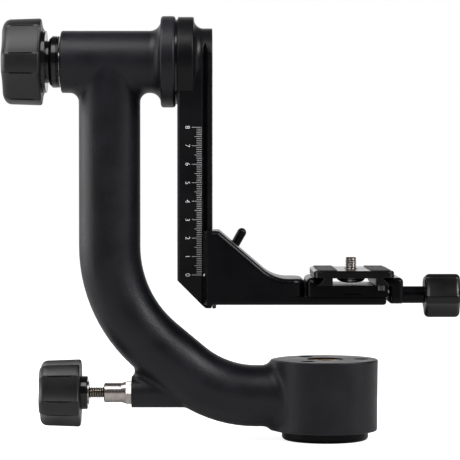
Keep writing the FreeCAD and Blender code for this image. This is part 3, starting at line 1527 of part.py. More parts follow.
def make_clamp_fasteners():
    """Mount screws under the platform, guide pins of the moving jaw and their springs."""
    shapes = []
    for x, y in clamp_screw_places():
        shapes.append(rod("clamp_screw", S.clamp_screw_radius, S.clamp_screw_length, x, y, bracket_bottom))
        shapes.append(rod("clamp_screw_head", S.clamp_screw_head_radius, S.clamp_screw_head_height,
                          x, y, bracket_bottom))
    fused("clamp_mount_screws", shapes)
    pin_left = clamp_right - S.guide_pin_root
    pin_length = S.guide_pin_root + S.jaw_gap + S.guide_pin_reach
    spring_left = clamp_right - S.jaw_spring_depth
    spring_length = S.jaw_spring_depth + S.jaw_gap
    pins = []
    coils = []
    hollows = []
    for side in (-1, 1):
        y = side * S.guide_pin_offset
        pins.append(rod("guide_pin", S.guide_pin_radius, pin_length, pin_left, y, guide_pin_height, "X"))
        coils.append(rod("jaw_spring", S.jaw_spring_radius, spring_length, spring_left, y,
                         guide_pin_height, "X"))
        hollows.append(rod("jaw_spring_hollow", S.jaw_spring_radius - S.spring_wire, spring_length,
                           spring_left, y, guide_pin_height, "X"))
    fused("clamp_guide_pins", pins)
    both = doc.addObject("Part::MultiFuse", "jaw_spring_pair")
    both.Shapes = coils
    without("qr_jaw_springs", both, hollows)


def make_moving_jaw():
    """Right-hand jaw of the clamp, drawn in by the screw."""
    body = new_body("qr_moving_jaw")
    foot_x = plate_x + S.plate_foot_half
    slant = foot_x + plate_bottom + S.plate_gap
    nose_x = slant - jaw_nose_bottom
    top_edge = S.jaw_top_round
    foot_edge = S.jaw_foot_round
    pad(body, "XZ_Plane", -S.clamp_half, S.clamp_half, [
        (jaw_left + foot_edge, jaw_bottom, foot_edge),
        (jaw_right - foot_edge, jaw_bottom),
        (jaw_right, jaw_bottom + foot_edge, foot_edge),
        (jaw_right, jaw_top - top_edge),
        (jaw_right - top_edge, jaw_top, top_edge),
        (nose_x, jaw_top),
        (nose_x, jaw_nose_bottom),
        (jaw_left, slant - jaw_left),
        (jaw_left, jaw_bottom + foot_edge),
    ])

    def outer_corner(box):
        upright = near(box.XMin, jaw_right) and box.XLength < 0.01 and box.YLength < 0.01
        return upright and near(abs(box.Center.y), S.clamp_half)

    rounded_edges(body, "Fillet", S.jaw_corner, outer_corner)
    cut_disc(body, "YZ_Plane", jaw_left, jaw_right, 0, qr_axis, S.qr_screw_radius + S.run_gap)
    for side in (-1, 1):
        y = side * S.guide_pin_offset
        cut_disc(body, "YZ_Plane", jaw_left, jaw_right - S.jaw_wall, y, guide_pin_height,
                 S.guide_pin_radius + S.run_gap)


def make_qr_knob():
    """Clamp knob with narrow ribs, the sleeve behind it and the screw through both."""
    screw_left = clamp_right - S.qr_screw_root
    screw_right = qr_knob_left + S.qr_knob_length / 2
    turned("qr_screw", "X", [
        (screw_left, 0),
        (screw_right, 0),
        (screw_right, S.qr_screw_radius),
        (screw_left + S.small_edge, S.qr_screw_radius),
        (screw_left, S.qr_screw_radius - S.small_edge),
    ], qr_axis)
    tube("qr_knob_sleeve", "X", qr_sleeve_left, qr_knob_left, S.qr_screw_radius, S.qr_sleeve_radius, qr_axis)
    edge = S.qr_knob_round
    knob = turned("qr_knob", "X", [
        (screw_right, 0),
        (qr_knob_right, 0),
        (qr_knob_right, S.qr_knob_radius - edge),
        (qr_knob_right - edge, S.qr_knob_radius, edge),
        (qr_knob_left + edge, S.qr_knob_radius),
        (qr_knob_left, S.qr_knob_radius - edge, edge),
        (qr_knob_left, S.qr_screw_radius),
        (screw_right, S.qr_screw_radius),
    ], qr_axis)
    half = S.qr_valley_angle / 2
    chord = S.qr_knob_radius * sine(half)
    sag = S.qr_knob_radius * cosine(half) - (S.qr_knob_radius - S.qr_valley_depth)
    cutter = (chord * chord + sag * sag) / (2 * sag)
    distance = S.qr_knob_radius - S.qr_valley_depth + cutter
    angle = S.qr_rib_turn + Size(180) / S.lobe_count
    hollow = cut_disc(knob, "YZ_Plane", qr_knob_left - S.overrun, qr_knob_right + S.overrun,
                      -(distance * cosine(angle)), distance * sine(angle), cutter)
    repeat(knob, hollow, "N_Axis", S.lobe_count)


# ---------------------------------------------------------------- quick-release plate

def make_qr_plate():
    """Dovetail plate with a channel underneath, a slot for the camera screw and pad recesses."""
    body = new_body("qr_plate")
    pad(body, "XY_Plane", plate_flange_bottom, plate_top,
        box_points(plate_x - S.plate_half, plate_x + S.plate_half, -S.plate_half_length,
                   S.plate_half_length))

    def corner(box):
        return box.XLength < 0.01 and box.YLength < 0.01

    rounded_edges(body, "Fillet", S.plate_corner, corner)

    def top_rim(box):
        return near(box.ZMin, plate_top) and box.ZLength < 0.01

    rounded_edges(body, "Chamfer", S.plate_bevel, top_rim)
    pad(body, "XZ_Plane", -S.plate_half_length, S.plate_half_length, [
        (plate_x - S.plate_foot_half, plate_bottom),
        (plate_x + S.plate_foot_half, plate_bottom),
        (plate_x + plate_neck_half, plate_neck_bottom),
        (plate_x + plate_neck_half, plate_flange_bottom + S.overrun),
        (plate_x - plate_neck_half, plate_flange_bottom + S.overrun),
        (plate_x - plate_neck_half, plate_neck_bottom),
    ])
    cut(body, "XZ_Plane", -S.plate_half_length - S.overrun, S.plate_half_length + S.overrun,
        box_points(plate_x - S.plate_channel_half, plate_x + S.plate_channel_half,
                   plate_bottom - S.overrun, channel_roof))
    cut_slot(body, "XY_Plane", channel_roof, plate_top, (plate_x, -S.plate_slot_reach),
             (plate_x, S.plate_slot_reach), S.plate_slot_half)
    for side in (-1, 1):
        cut(body, "XY_Plane", plate_top - S.pad_depth, plate_top, pad_box(side))
    for side in (-1, 1):
        x = plate_x - side * S.stop_pin_offset
        y = side * stop_pin_reach
        cut_disc(body, "XY_Plane", plate_bottom, plate_bottom + S.stop_pin_seat, x, y, S.stop_pin_radius)


def pad_box(side):
    """Outline of one rubber pad on the plate."""
    low = plate_x + side * S.pad_inner
    high = plate_x + side * S.pad_outer
    if side < 0:
        low, high = high, low
    return box_points(low, high, -pad_half_length, pad_half_length)


def make_plate_fittings():
    """Two rubber pads on the plate and two stop screws under its ends."""
    boxes = []
    for side in (-1, 1):
        left = plate_x + side * (S.pad_inner + S.pad_outer) / 2 - (S.pad_outer - S.pad_inner) / 2
        box = primitive("Box", "pad_block", Length=S.pad_outer - S.pad_inner,
                        Width=2 * pad_half_length, Height=S.pad_depth + S.pad_proud)
        boxes.append(place(box, left, -pad_half_length, plate_top - S.pad_depth))
    fused("plate_pads", boxes)
    shapes = []
    for side in (-1, 1):
        x = plate_x - side * S.stop_pin_offset
        y = side * stop_pin_reach
        head_low = plate_bottom - S.stop_pin_drop
        length = S.stop_pin_drop + S.stop_pin_seat
        shapes.append(rod("stop_pin", S.stop_pin_radius, length, x, y, head_low))
        shapes.append(rod("stop_pin_head", S.stop_pin_head_radius, S.stop_pin_drop, x, y, head_low))
    fused("plate_stop_screws", shapes)


def make_camera_screw():
    """Captive camera screw with a wide head under the plate, its washer and its bail."""
    head_top = channel_roof - S.face_gap - S.camera_washer_thickness
    head_bottom = head_top - S.camera_head_height
    top = pad_top + S.camera_thread_height
    turn_axis = head_bottom + S.camera_head_height / 2
    screw = doc.addObject("Part::MultiFuse", "camera_screw_solid")
    neck = rod("camera_neck", S.camera_neck_radius, plate_top - head_bottom, plate_x, 0, head_bottom)
    thread = rod("camera_thread", S.camera_thread_radius, top - plate_top, plate_x, 0, plate_top)
    head = rod("camera_head", S.camera_head_radius, S.camera_head_height, plate_x, 0, head_bottom)
    screw.Shapes = [neck, thread, head]
    cross = S.camera_head_radius * 2 + 2
    hole = rod("bail_hole", S.ring_wire + S.face_gap / 2, cross, plate_x - cross / 2, 0, turn_axis, "X")
    without("camera_screw", screw, [hole])
    tube_low = head_top
    washer = rod("washer_disc", S.camera_washer_radius, S.camera_washer_thickness, plate_x, 0, tube_low)
    washer_hole = rod("washer_hole", S.camera_neck_radius, S.camera_washer_thickness, plate_x, 0, tube_low)
    without("camera_washer", washer, [washer_hole])
    bar = rod("bail_bar", S.ring_wire, 2 * S.ring_radius, -S.ring_radius, 0, 0, "X")
    bow = primitive("Torus", "bail_bow", Radius1=S.ring_radius, Radius2=S.ring_wire)
    bow.Angle3 = 180
    place(bow, 0, 0, 0, (0, 0, 1), 180)
    ring = fused("screw_bail", [bar, bow])
    place(ring, plate_x, 0, turn_axis, (1, 0, 0), S.ring_tilt)


# ---------------------------------------------------------------- build, check and write

def make_everything():
    make_pan_base()
    make_pan_spindle()
    make_spindle_screws()
    make_spindle_cap()
    make_cap_screw()
    make_main_arm()
    make_pan_housing()
    make_pan_bushes()
    make_hub_screws()
    make_tilt_bearing()
    make_pan_lock_sleeve()
    make_tilt_knob()
    make_pan_knob()
    make_pan_pusher()
    make_swing_arm()
    make_tilt_shaft()
    make_shaft_bolt()
    make_height_stop_screw()
    make_cradle_bracket()
    make_height_clamp()
    make_clamp_body()
    make_clamp_fasteners()
    make_moving_jaw()
    make_qr_knob()
    make_qr_plate()
    make_plate_fittings()
    make_camera_screw()
    doc.recompute()


def check_document():
    """Stop if an object failed or a sub-part has no valid shape."""
    for item in doc.Objects:
        if "Invalid" in item.State or "Error" in item.State:
            raise ValueError("%s: %s" % (item.Label, item.State))
    for item in sub_parts:
        if item.Shape.isNull() or not item.Shape.isValid():
            raise ValueError("%s has no valid shape" % item.Label)


def write_parts():
    os.makedirs("parts", exist_ok=True)
    for item in sub_parts:
        item.Shape.exportStep("parts/%s.step" % item.Label)
        box = item.Shape.BoundBox
        print("%-22s %9.1f mm3  X %7.2f %7.2f  Y %6.2f %6.2f  Z %7.2f %7.2f  %d" % (
            item.Label, item.Shape.Volume, box.XMin, box.XMax, box.YMin, box.YMax,
            box.ZMin, box.ZMax, len(item.Shape.Solids)))


make_everything()
check_document()
write_parts()
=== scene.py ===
# %% [markdown]
# # A gimbal tripod head
# The frame comes from the solid model: every metal part is there already, at its real size and in
# its place. This lesson gives each part its finish, and makes the few pieces whose shape needs more
# than a turned or milled solid: moulded grips, screw threads, springs, ribbed pads and the scale.

# %% Load the frame
import math

import bpy
import numpy as np
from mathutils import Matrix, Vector


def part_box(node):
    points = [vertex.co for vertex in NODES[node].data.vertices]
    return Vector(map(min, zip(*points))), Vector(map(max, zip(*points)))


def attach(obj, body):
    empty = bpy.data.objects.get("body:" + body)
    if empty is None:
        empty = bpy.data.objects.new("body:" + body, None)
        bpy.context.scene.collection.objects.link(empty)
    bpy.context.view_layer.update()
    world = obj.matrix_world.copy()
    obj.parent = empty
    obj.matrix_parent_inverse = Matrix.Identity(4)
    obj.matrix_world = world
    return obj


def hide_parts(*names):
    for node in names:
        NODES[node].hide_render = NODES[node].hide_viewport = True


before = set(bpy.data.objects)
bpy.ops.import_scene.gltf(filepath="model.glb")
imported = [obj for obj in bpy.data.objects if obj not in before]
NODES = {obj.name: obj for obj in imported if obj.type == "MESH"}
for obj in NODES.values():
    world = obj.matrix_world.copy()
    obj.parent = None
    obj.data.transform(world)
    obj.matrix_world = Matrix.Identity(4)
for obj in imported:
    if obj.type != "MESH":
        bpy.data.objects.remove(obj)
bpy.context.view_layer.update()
MM = 0.001
print(len(NODES), "solid parts")

# %% [markdown]
# ## Camera
# The head is seen square from the front, from so far away that its round parts show hardly any
# perspective. A short lens close by would make the knobs look larger than the base, so this is a
# long lens from more than a metre away, aimed slightly downwards.

# %% Camera
LENS_TARGET = Vector((-52.4, 0.0, 115.4)) * MM
LENS_PLACE = Vector((-52.4, -1189.74, 140.32)) * MM
SENSOR_WIDTH = 36
FOCAL_LENGTH = 169.2
camera = bpy.data.objects.new("camera", bpy.data.cameras.new("camera"))
camera.data.sensor_width = SENSOR_WIDTH
camera.data.lens = FOCAL_LENGTH
camera.data.clip_end = 100
camera.location = LENS_PLACE
camera.rotation_euler = (LENS_TARGET - LENS_PLACE).to_track_quat("-Z", "Y").to_euler()
bpy.context.scene.collection.objects.link(camera)
bpy.context.scene.camera = camera
bpy.context.scene.view_settings.view_transform = "Standard"
print("camera %.2f m from the head" % (LENS_TARGET - LENS_PLACE).length)

# %% [markdown]
# ## Floor
# The head stands on a bright table with no visible edge. More lamps would bleach the floor and the
# head together, so the floor glows by itself instead: fully towards the camera, faintly in mirrors,
# and not at all as a lamp. It is still a plain grey sheet that takes the head's soft shadow.

# %% Helpers for node trees
def new_material(name):
    """An empty material with its Principled shader, ready for textures."""
    material = bpy.data.materials.new(name)
    material.use_nodes = True
    tree = material.node_tree
    return material, tree, tree.nodes["Principled BSDF"]


def between_two(tree, share, low, high):
    """A value that is low where the share is 0 and high where it is 1.

    Each end is a number or a socket.
    """
    mix = tree.nodes.new("ShaderNodeMapRange")
    tree.links.new(share, mix.inputs["Value"])
    for end, value in (("To Min", low), ("To Max", high)):
        if isinstance(value, (int, float)):
            mix.inputs[end].default_value = value
        else:
            tree.links.new(value, mix.inputs[end])
    return mix.outputs["Result"]


def seen_as(tree, by_camera, in_mirrors, as_light):
    """A value for each kind of ray: from the camera, from a shiny or clear surface, or other."""
    path = tree.nodes.new("ShaderNodeLightPath")
    mirrored = tree.nodes.new("ShaderNodeMath")
    mirrored.operation = "MAXIMUM"
    tree.links.new(path.outputs["Is Glossy Ray"], mirrored.inputs[0])
    tree.links.new(path.outputs["Is Transmission Ray"], mirrored.inputs[1])
    indirect = between_two(tree, mirrored.outputs[0], as_light, in_mirrors)
    return between_two(tree, path.outputs["Is Camera Ray"], indirect, by_camera)


# %% Floor
FLOOR_HALF = 4.0
FLOOR_GREY = 0.5


def make_floor():
    """A square sheet under the head that glows white to the camera and takes shadow."""
    mesh = bpy.data.meshes.new("floor")
    square = [(-1, -1), (1, -1), (1, 1), (-1, 1)]
    mesh.from_pydata([(x * FLOOR_HALF, y * FLOOR_HALF, 0) for x, y in square], [], [(0, 1, 2, 3)])
    floor = bpy.data.objects.new("floor", mesh)
    bpy.context.scene.collection.objects.link(floor)
    material, tree, shader = new_material("floor_white")
    shader.inputs["Base Color"].default_value = (FLOOR_GREY, FLOOR_GREY, FLOOR_GREY, 1)
    shader.inputs["Roughness"].default_value = 0.9
    shader.inputs["Specular IOR Level"].default_value = 0.0
    shader.inputs["Emission Color"].default_value = (1, 1, 1, 1)
    glow = seen_as(tree, by_camera=0.88, in_mirrors=0.1, as_light=0.0)
    tree.links.new(glow, shader.inputs["Emission Strength"])
    mesh.materials.append(material)


make_floor()
print("floor", 2 * FLOOR_HALF, "m square")

# %% [markdown]
# ## Light
# A black object shows its form only by what it reflects. Two lamps high in front draw the soft
# highlights along the tube and over the knobs. A very broad one at the left edges the round parts,
# and a weak one at the right keeps the other side from vanishing. Small hard lamps would give
# sparkles and hide the shapes. The room is dim where it lights or mirrors, except for a white
# backdrop behind the head, which the rims of the round parts pick up.

# %% Lamps
def add_lamp(name, place, target, width, height, power):
    """A soft rectangular lamp that shines from one place, in millimetres, towards another."""
    lamp = bpy.data.lights.new(name, "AREA")
    lamp.shape = "RECTANGLE"
    lamp.size = width * MM
    lamp.size_y = height * MM
    lamp.energy = power
    holder = bpy.data.objects.new(name, lamp)
    holder.location = Vector(place) * MM
    aim = Vector(target) * MM - holder.location
    holder.rotation_euler = aim.to_track_quat("-Z", "Y").to_euler()
    bpy.context.scene.collection.objects.link(holder)
    print("%-12s %4d W from %.2f m" % (name, power, aim.length))


MIDDLE = (-52, 0, 116)
UPPER_BEND = (-90, 0, 140)
add_lamp("key_lamp", (-400, -290, 860), UPPER_BEND, width=800, height=450, power=8)
add_lamp("second_lamp", (776, -456, 900), MIDDLE, width=450, height=450, power=15)
add_lamp("left_lamp", (-1350, 150, 300), MIDDLE, width=1200, height=1000, power=18)
add_lamp("right_lamp", (1150, -330, 300), MIDDLE, width=500, height=1000, power=3)

# %% Room with a white backdrop
TOWARDS_BACKDROP = Vector((-0.26, 0.966, 0.0))
BACKDROP_EDGE = 0.70
BACKDROP_FULL = 0.85
world = bpy.data.worlds.new("room")
world.use_nodes = True
room = world.node_tree
back = room.nodes["Background"]
back.inputs["Color"].default_value = (1, 1, 1, 1)
direction = room.nodes.new("ShaderNodeTexCoord")
facing = room.nodes.new("ShaderNodeVectorMath")
facing.operation = "DOT_PRODUCT"
facing.inputs[1].default_value = TOWARDS_BACKDROP
room.links.new(direction.outputs["Generated"], facing.inputs[0])
backdrop = room.nodes.new("ShaderNodeMapRange")
backdrop.inputs["From Min"].default_value = BACKDROP_EDGE
backdrop.inputs["From Max"].default_value = BACKDROP_FULL
room.links.new(facing.outputs["Value"], backdrop.inputs["Value"])
mirrored_room = between_two(room, backdrop.outputs["Result"], 0.1, 1.0)
brightness = seen_as(room, by_camera=1.0, in_mirrors=mirrored_room, as_light=0.3)
room.links.new(brightness, back.inputs["Strength"])
bpy.context.scene.world = world
edges = [math.degrees(math.acos(share)) for share in (BACKDROP_FULL, BACKDROP_EDGE)]
print("backdrop white up to %.0f degrees off its middle, gone at %.0f" % tuple(edges))

# %% [markdown]
# ## Finishes
# The parts of one head differ less in colour than in surface. Each finish could be one flat black,
# but then all parts would look moulded in one piece. So each has its own grain, a roughness and a
# colour that wander a little, and edges softened by the bevel node, because no real edge is a
# perfect corner.

# %% Textures, grain and soft edges
def place_texture(tree, kind, scale, stretch=(1, 1, 1), detail=2.0):
    """A texture on the piece's own coordinates, with scale features to a metre.

    Stretch multiplies the scale along each axis.
    """
    source = tree.nodes.new("ShaderNodeTexCoord")
    mapping = tree.nodes.new("ShaderNodeMapping")
    mapping.inputs["Scale"].default_value = stretch
    texture = tree.nodes.new(kind)
    texture.inputs["Scale"].default_value = scale
    texture.inputs["Detail"].default_value = detail
    tree.links.new(source.outputs["Object"], mapping.inputs["Vector"])
    tree.links.new(mapping.outputs["Vector"], texture.inputs["Vector"])
    return texture


def soft_edges(tree, radius):
    """Normals that round off each edge by a radius in millimetres."""
    bevel = tree.nodes.new("ShaderNodeBevel")
    bevel.samples = 4
    bevel.inputs["Radius"].default_value = radius * MM
    return bevel.outputs["Normal"]


def add_grain(tree, shader, height_source, height, normal):
    """Bump of a height in millimetres on top of given normals."""
    bump = tree.nodes.new("ShaderNodeBump")
    bump.inputs["Strength"].default_value = 1.0
    bump.inputs["Distance"].default_value = height * MM
    tree.links.new(height_source, bump.inputs["Height"])
    tree.links.new(normal, bump.inputs["Normal"])
    tree.links.new(bump.outputs["Normal"], shader.inputs["Normal"])


# %% Let a texture vary the finish
# Noise rarely leaves the middle of 0 to 1, so this stretch of it is spread over the full range.
NOISE_LOW = 0.3
NOISE_HIGH = 0.7


def vary_roughness(tree, shader, source, low, high):
    """Let a texture move the roughness between two limits."""
    spread = tree.nodes.new("ShaderNodeMapRange")
    spread.inputs["From Min"].default_value = NOISE_LOW
    spread.inputs["From Max"].default_value = NOISE_HIGH
    spread.inputs["To Min"].default_value = low
    spread.inputs["To Max"].default_value = high
    tree.links.new(source, spread.inputs["Value"])
    tree.links.new(spread.outputs["Result"], shader.inputs["Roughness"])


def vary_colour(tree, shader, source, dark, light):
    """Let a texture mix the base colour from a darker and a lighter one."""
    ramp = tree.nodes.new("ShaderNodeValToRGB")
    ramp.color_ramp.elements[0].position = NOISE_LOW
    ramp.color_ramp.elements[0].color = (*dark, 1)
    ramp.color_ramp.elements[1].position = NOISE_HIGH
    ramp.color_ramp.elements[1].color = (*light, 1)
    tree.links.new(source, ramp.inputs["Fac"])
    tree.links.new(ramp.outputs["Color"], shader.inputs["Base Color"])


# %% [markdown]
# ### Coats, rubber and plastic
# The cast arm is powder coated, which leaves a fine pebbled grain. The milled parts are anodised
# and almost smooth, and the grips and pads are moulded. All of them are a black or white layer that
# light hardly enters, so one recipe with different numbers serves for all.

# %% A coated or moulded surface
COAT_PATCHES = 60
COAT_WANDER = 0.05


def coated(name, dark, light, roughness, grain, height, edge, shine=0.5):
    """Grain of a size and height in millimetres, over edges softened by a radius in millimetres.

    Colour and roughness wander over patches about two centimetres wide. Shine is the shader's
    specular level: a dyed or matt coat mirrors less than clear varnish.
    """
    material, tree, shader = new_material(name)
    shader.inputs["Specular IOR Level"].default_value = shine
    fine = place_texture(tree, "ShaderNodeTexNoise", 1 / (grain * MM), detail=3.0)
    broad = place_texture(tree, "ShaderNodeTexNoise", COAT_PATCHES)
    vary_colour(tree, shader, broad.outputs["Fac"], dark, light)
    vary_roughness(
        tree, shader, broad.outputs["Fac"], roughness - COAT_WANDER, roughness + COAT_WANDER)
    add_grain(tree, shader, fine.outputs["Fac"], height, soft_edges(tree, edge))
    return material


# %% Coats of the metal parts
POWDER = coated(
    "powder_coat", dark=(0.0036, 0.0037, 0.0052), light=(0.0074, 0.0075, 0.0100),
    roughness=0.40, grain=0.8, height=0.12, edge=0.4, shine=0.22)
ANODISED = coated(
    "black_anodised", dark=(0.0024, 0.0024, 0.0030), light=(0.0040, 0.0040, 0.0048),
    roughness=0.34, grain=0.25, height=0.008, edge=0.9, shine=0.13)
BRACKET = coated(
    "bracket_anodised", dark=(0.0014, 0.0014, 0.0019), light=(0.0024, 0.0024, 0.0031),
    roughness=0.28, grain=0.25, height=0.006, edge=1.1, shine=0.10)
CLAMP = coated(
    "clamp_anodised", dark=(0.0014, 0.0014, 0.0018), light=(0.0024, 0.0024, 0.0030),
    roughness=0.24, grain=0.25, height=0.005, edge=0.5, shine=0.08)
PLATE = coated(
    "plate_anodised", dark=(0.0015, 0.0015, 0.0018), light=(0.003, 0.003, 0.0034),
    roughness=0.17, grain=0.3, height=0.003, edge=0.35, shine=0.22)
GLOSS = coated(
    "polished_black", dark=(0.003, 0.003, 0.003), light=(0.005, 0.005, 0.005),
    roughness=0.16, grain=0.8, height=0.003, edge=0.3, shine=0.3)
print("coats of metal:", [m.name for m in (POWDER, ANODISED, BRACKET, CLAMP, PLATE, GLOSS)])

# %% Rubber, plastic and print
GRIP = coated(
    "grip_rubber", dark=(0.0018, 0.0018, 0.0022), light=(0.0036, 0.0036, 0.0042),
    roughness=0.42, grain=0.4, height=0.02, edge=0.3, shine=0.38)
CLAMP_GRIP = coated(
    "clamp_grip_plastic", dark=(0.0018, 0.0018, 0.0022), light=(0.0036, 0.0036, 0.0042),
    roughness=0.32, grain=0.4, height=0.02, edge=0.3, shine=0.24)
CAP = coated(
    "cap_plastic", dark=(0.008, 0.008, 0.008), light=(0.012, 0.012, 0.012),
    roughness=0.42, grain=0.3, height=0.01, edge=0.2, shine=0.3)
PAD = coated(
    "pad_rubber", dark=(0.03, 0.03, 0.031), light=(0.045, 0.045, 0.047),
    roughness=0.6, grain=0.3, height=0.03, edge=0.15, shine=0.3)
SLIDE = coated(
    "slide_plastic", dark=(0.6, 0.59, 0.56), light=(0.7, 0.69, 0.66),
    roughness=0.5, grain=0.4, height=0.01, edge=0.1)
PRINT = coated(
    "white_print", dark=(0.62, 0.62, 0.62), light=(0.75, 0.75, 0.75),
    roughness=0.6, grain=0.3, height=0.002, edge=0.02)
THIN_PRINT = coated(
    "thin_print", dark=(0.33, 0.33, 0.33), light=(0.42, 0.42, 0.42),
    roughness=0.6, grain=0.3, height=0.002, edge=0.02)
moulded = (GRIP, CLAMP_GRIP, CAP, PAD, SLIDE, PRINT, THIN_PRINT)
print("moulded and printed:", [m.name for m in moulded])

# %% [markdown]
# ### Turned metal
# Shafts, bushes and screws come from a lathe, whose tool leaves fine rings round the axis. An
# anisotropic shader would smear the highlight in the same way, but it shows no rings up close. So
# the rings are noise, squeezed almost flat in the two directions across the axis.

# %% Metal from a lathe
METAL_PATCHES = 250
RING_PITCH = 0.12
ACROSS_RINGS = 0.02
METAL_EDGE = 0.15


def turned_metal(name, dark, light, roughness, axis, height=0.004, wander=0.06):
    """Fine rings round an axis, drawn by noise along the axis alone, with a height in millimetres.

    The rings move the roughness by wander to each side.
    """
    material, tree, shader = new_material(name)
    shader.inputs["Metallic"].default_value = 1.0
    stretch = [1.0 if letter == axis else ACROSS_RINGS for letter in "XYZ"]
    rings = place_texture(tree, "ShaderNodeTexNoise", 1 / (RING_PITCH * MM), stretch)
    broad = place_texture(tree, "ShaderNodeTexNoise", METAL_PATCHES)
    vary_colour(tree, shader, broad.outputs["Fac"], dark, light)
    vary_roughness(tree, shader, rings.outputs["Fac"], roughness - wander, roughness + wander)
    add_grain(tree, shader, rings.outputs["Fac"], height, soft_edges(tree, METAL_EDGE))
    return material


STEEL = {"dark": (0.42, 0.41, 0.40), "light": (0.56, 0.55, 0.53), "roughness": 0.3}
BRONZE = {"dark": (0.42, 0.24, 0.10), "light": (0.60, 0.37, 0.17), "roughness": 0.3}
POLISHED = {"height": 0.001, "wander": 0.02}
STEEL_X = turned_metal("turned_steel_x", axis="X", **STEEL)
STEEL_Z = turned_metal("turned_steel_z", axis="Z", **STEEL)
# Painted shade: stainless turned round X is darker than the same steel round Z, to dim the sleeve.
SHADED_STAINLESS_X = turned_metal(
    "stainless_x_painted_shade", (0.30, 0.27, 0.25), (0.40, 0.36, 0.34), 0.26, "X", **POLISHED)
STAINLESS_Z = turned_metal(
    "stainless_z", (0.46, 0.43, 0.41), (0.60, 0.56, 0.53), 0.24, "Z", **POLISHED)
DARK_STEEL = turned_metal("dark_steel", (0.06, 0.06, 0.065), (0.1, 0.1, 0.105), 0.32, "Z")
BRONZE_Z = turned_metal("bronze_z", axis="Z", **BRONZE)
BRONZE_X = turned_metal("bronze_x", axis="X", **BRONZE)
turned = (STEEL_X, STEEL_Z, SHADED_STAINLESS_X, STAINLESS_Z, DARK_STEEL, BRONZE_Z, BRONZE_X)
print("turned:", [m.name for m in turned])

# %% [markdown]
# ## Dress the solid parts
# The solids keep their meshes. Each gets the finish of its real counterpart in its material slot,
# and turned parts get the finish whose rings run round their own axis.

# %% One finish for each node
FINISHES = {
    "pan_base": CLAMP,
    "pan_spindle": STEEL_Z,
    "spindle_screws": STAINLESS_Z,
    "spindle_cap": BRONZE_Z,
    "cap_screw": STEEL_Z,
    "main_arm": POWDER,
    "pan_housing": ANODISED,
    "pan_bush_upper": BRONZE_Z,
    "pan_bush_lower": BRONZE_Z,
    "pan_thrust_washer": SLIDE,
    "hub_screws": DARK_STEEL,
    "tilt_bush_front": BRONZE_X,
    "tilt_bush_rear": BRONZE_X,
    "tilt_thrust_ring": GLOSS,
    "tilt_friction_washer": GLOSS,
    "pan_lock_sleeve": SHADED_STAINLESS_X,
    "pan_push_rod": STEEL_X,
    "pan_brake_shoe": BRONZE_X,
    "pan_lock_screw": SHADED_STAINLESS_X,
    "pan_knob_core": GLOSS,
    "pan_knob_washer": SHADED_STAINLESS_X,
    "pan_knob_grip": GRIP,
    "pan_knob_cap": CAP,
    "swing_arm": ANODISED,
    "tilt_shaft": STEEL_X,
    "shaft_bolt": DARK_STEEL,
    "height_stop_screw": DARK_STEEL,
    "tilt_collar": GLOSS,
    "tilt_knob_core": GLOSS,
    "tilt_knob_flange": GLOSS,
    "tilt_knob_grip": GRIP,
    "tilt_knob_cap": CAP,
    "cradle_bracket": BRACKET,
    "clamp_body": CLAMP,
    "clamp_mount_screws": STAINLESS_Z,
    "clamp_guide_pins": STEEL_X,
    "qr_jaw_springs": STEEL_X,
    "height_jaw_spring": STEEL_Z,
    "height_clamp_jaw": ANODISED,
    "height_lever": ANODISED,
    "lever_screw": STAINLESS_Z,
    "lever_cap": CAP,
    "qr_moving_jaw": CLAMP,
    "qr_knob": CLAMP_GRIP,
    "qr_knob_sleeve": CLAMP,
    "qr_screw": SHADED_STAINLESS_X,
    "qr_plate": PLATE,
    "plate_pads": PAD,
    "plate_stop_screws": DARK_STEEL,
    "camera_screw": STAINLESS_Z,
    "camera_washer": STEEL_Z,
    "screw_bail": SHADED_STAINLESS_X,
}
for node_name, node in NODES.items():
    node.data.materials.clear()
    node.data.materials.append(FINISHES[node_name])
print("dressed", len(NODES), "nodes")

# %% [markdown]
# ## Skins over grids of points
# A knob, a thread or a spring is a surface with two directions: along its axis and round it. It
# could be pushed and pulled by hand from a cylinder, or cut with booleans, but a formula gives the
# exact radius everywhere and clean rows of quads. So each shape here is an array of points, rows
# along and columns round, and one function turns such an array into a mesh. Its place comes from
# the box of the solid that it dresses or stands for.

# %% Where the solid parts are
def corners(node):
    """Lowest and highest corner of a solid part at rest, as arrays in millimetres."""
    low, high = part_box(node)
    return np.array(low) / MM, np.array(high) / MM


def middle(node):
    """Centre of a solid part's box, in millimetres: for a turned part it lies on its axis."""
    low, high = corners(node)
    return (low + high) / 2


TILT_Z = middle("tilt_shaft")[2]
LOCK_Z = middle("pan_lock_screw")[2]
CLAMP_Z = middle("qr_screw")[2]
PLATE_X = middle("qr_plate")[0]
print("heights of the tilt axis, the pan lock and the clamp screw, mm:",
      [round(float(v), 2) for v in (TILT_Z, LOCK_Z, CLAMP_Z)])

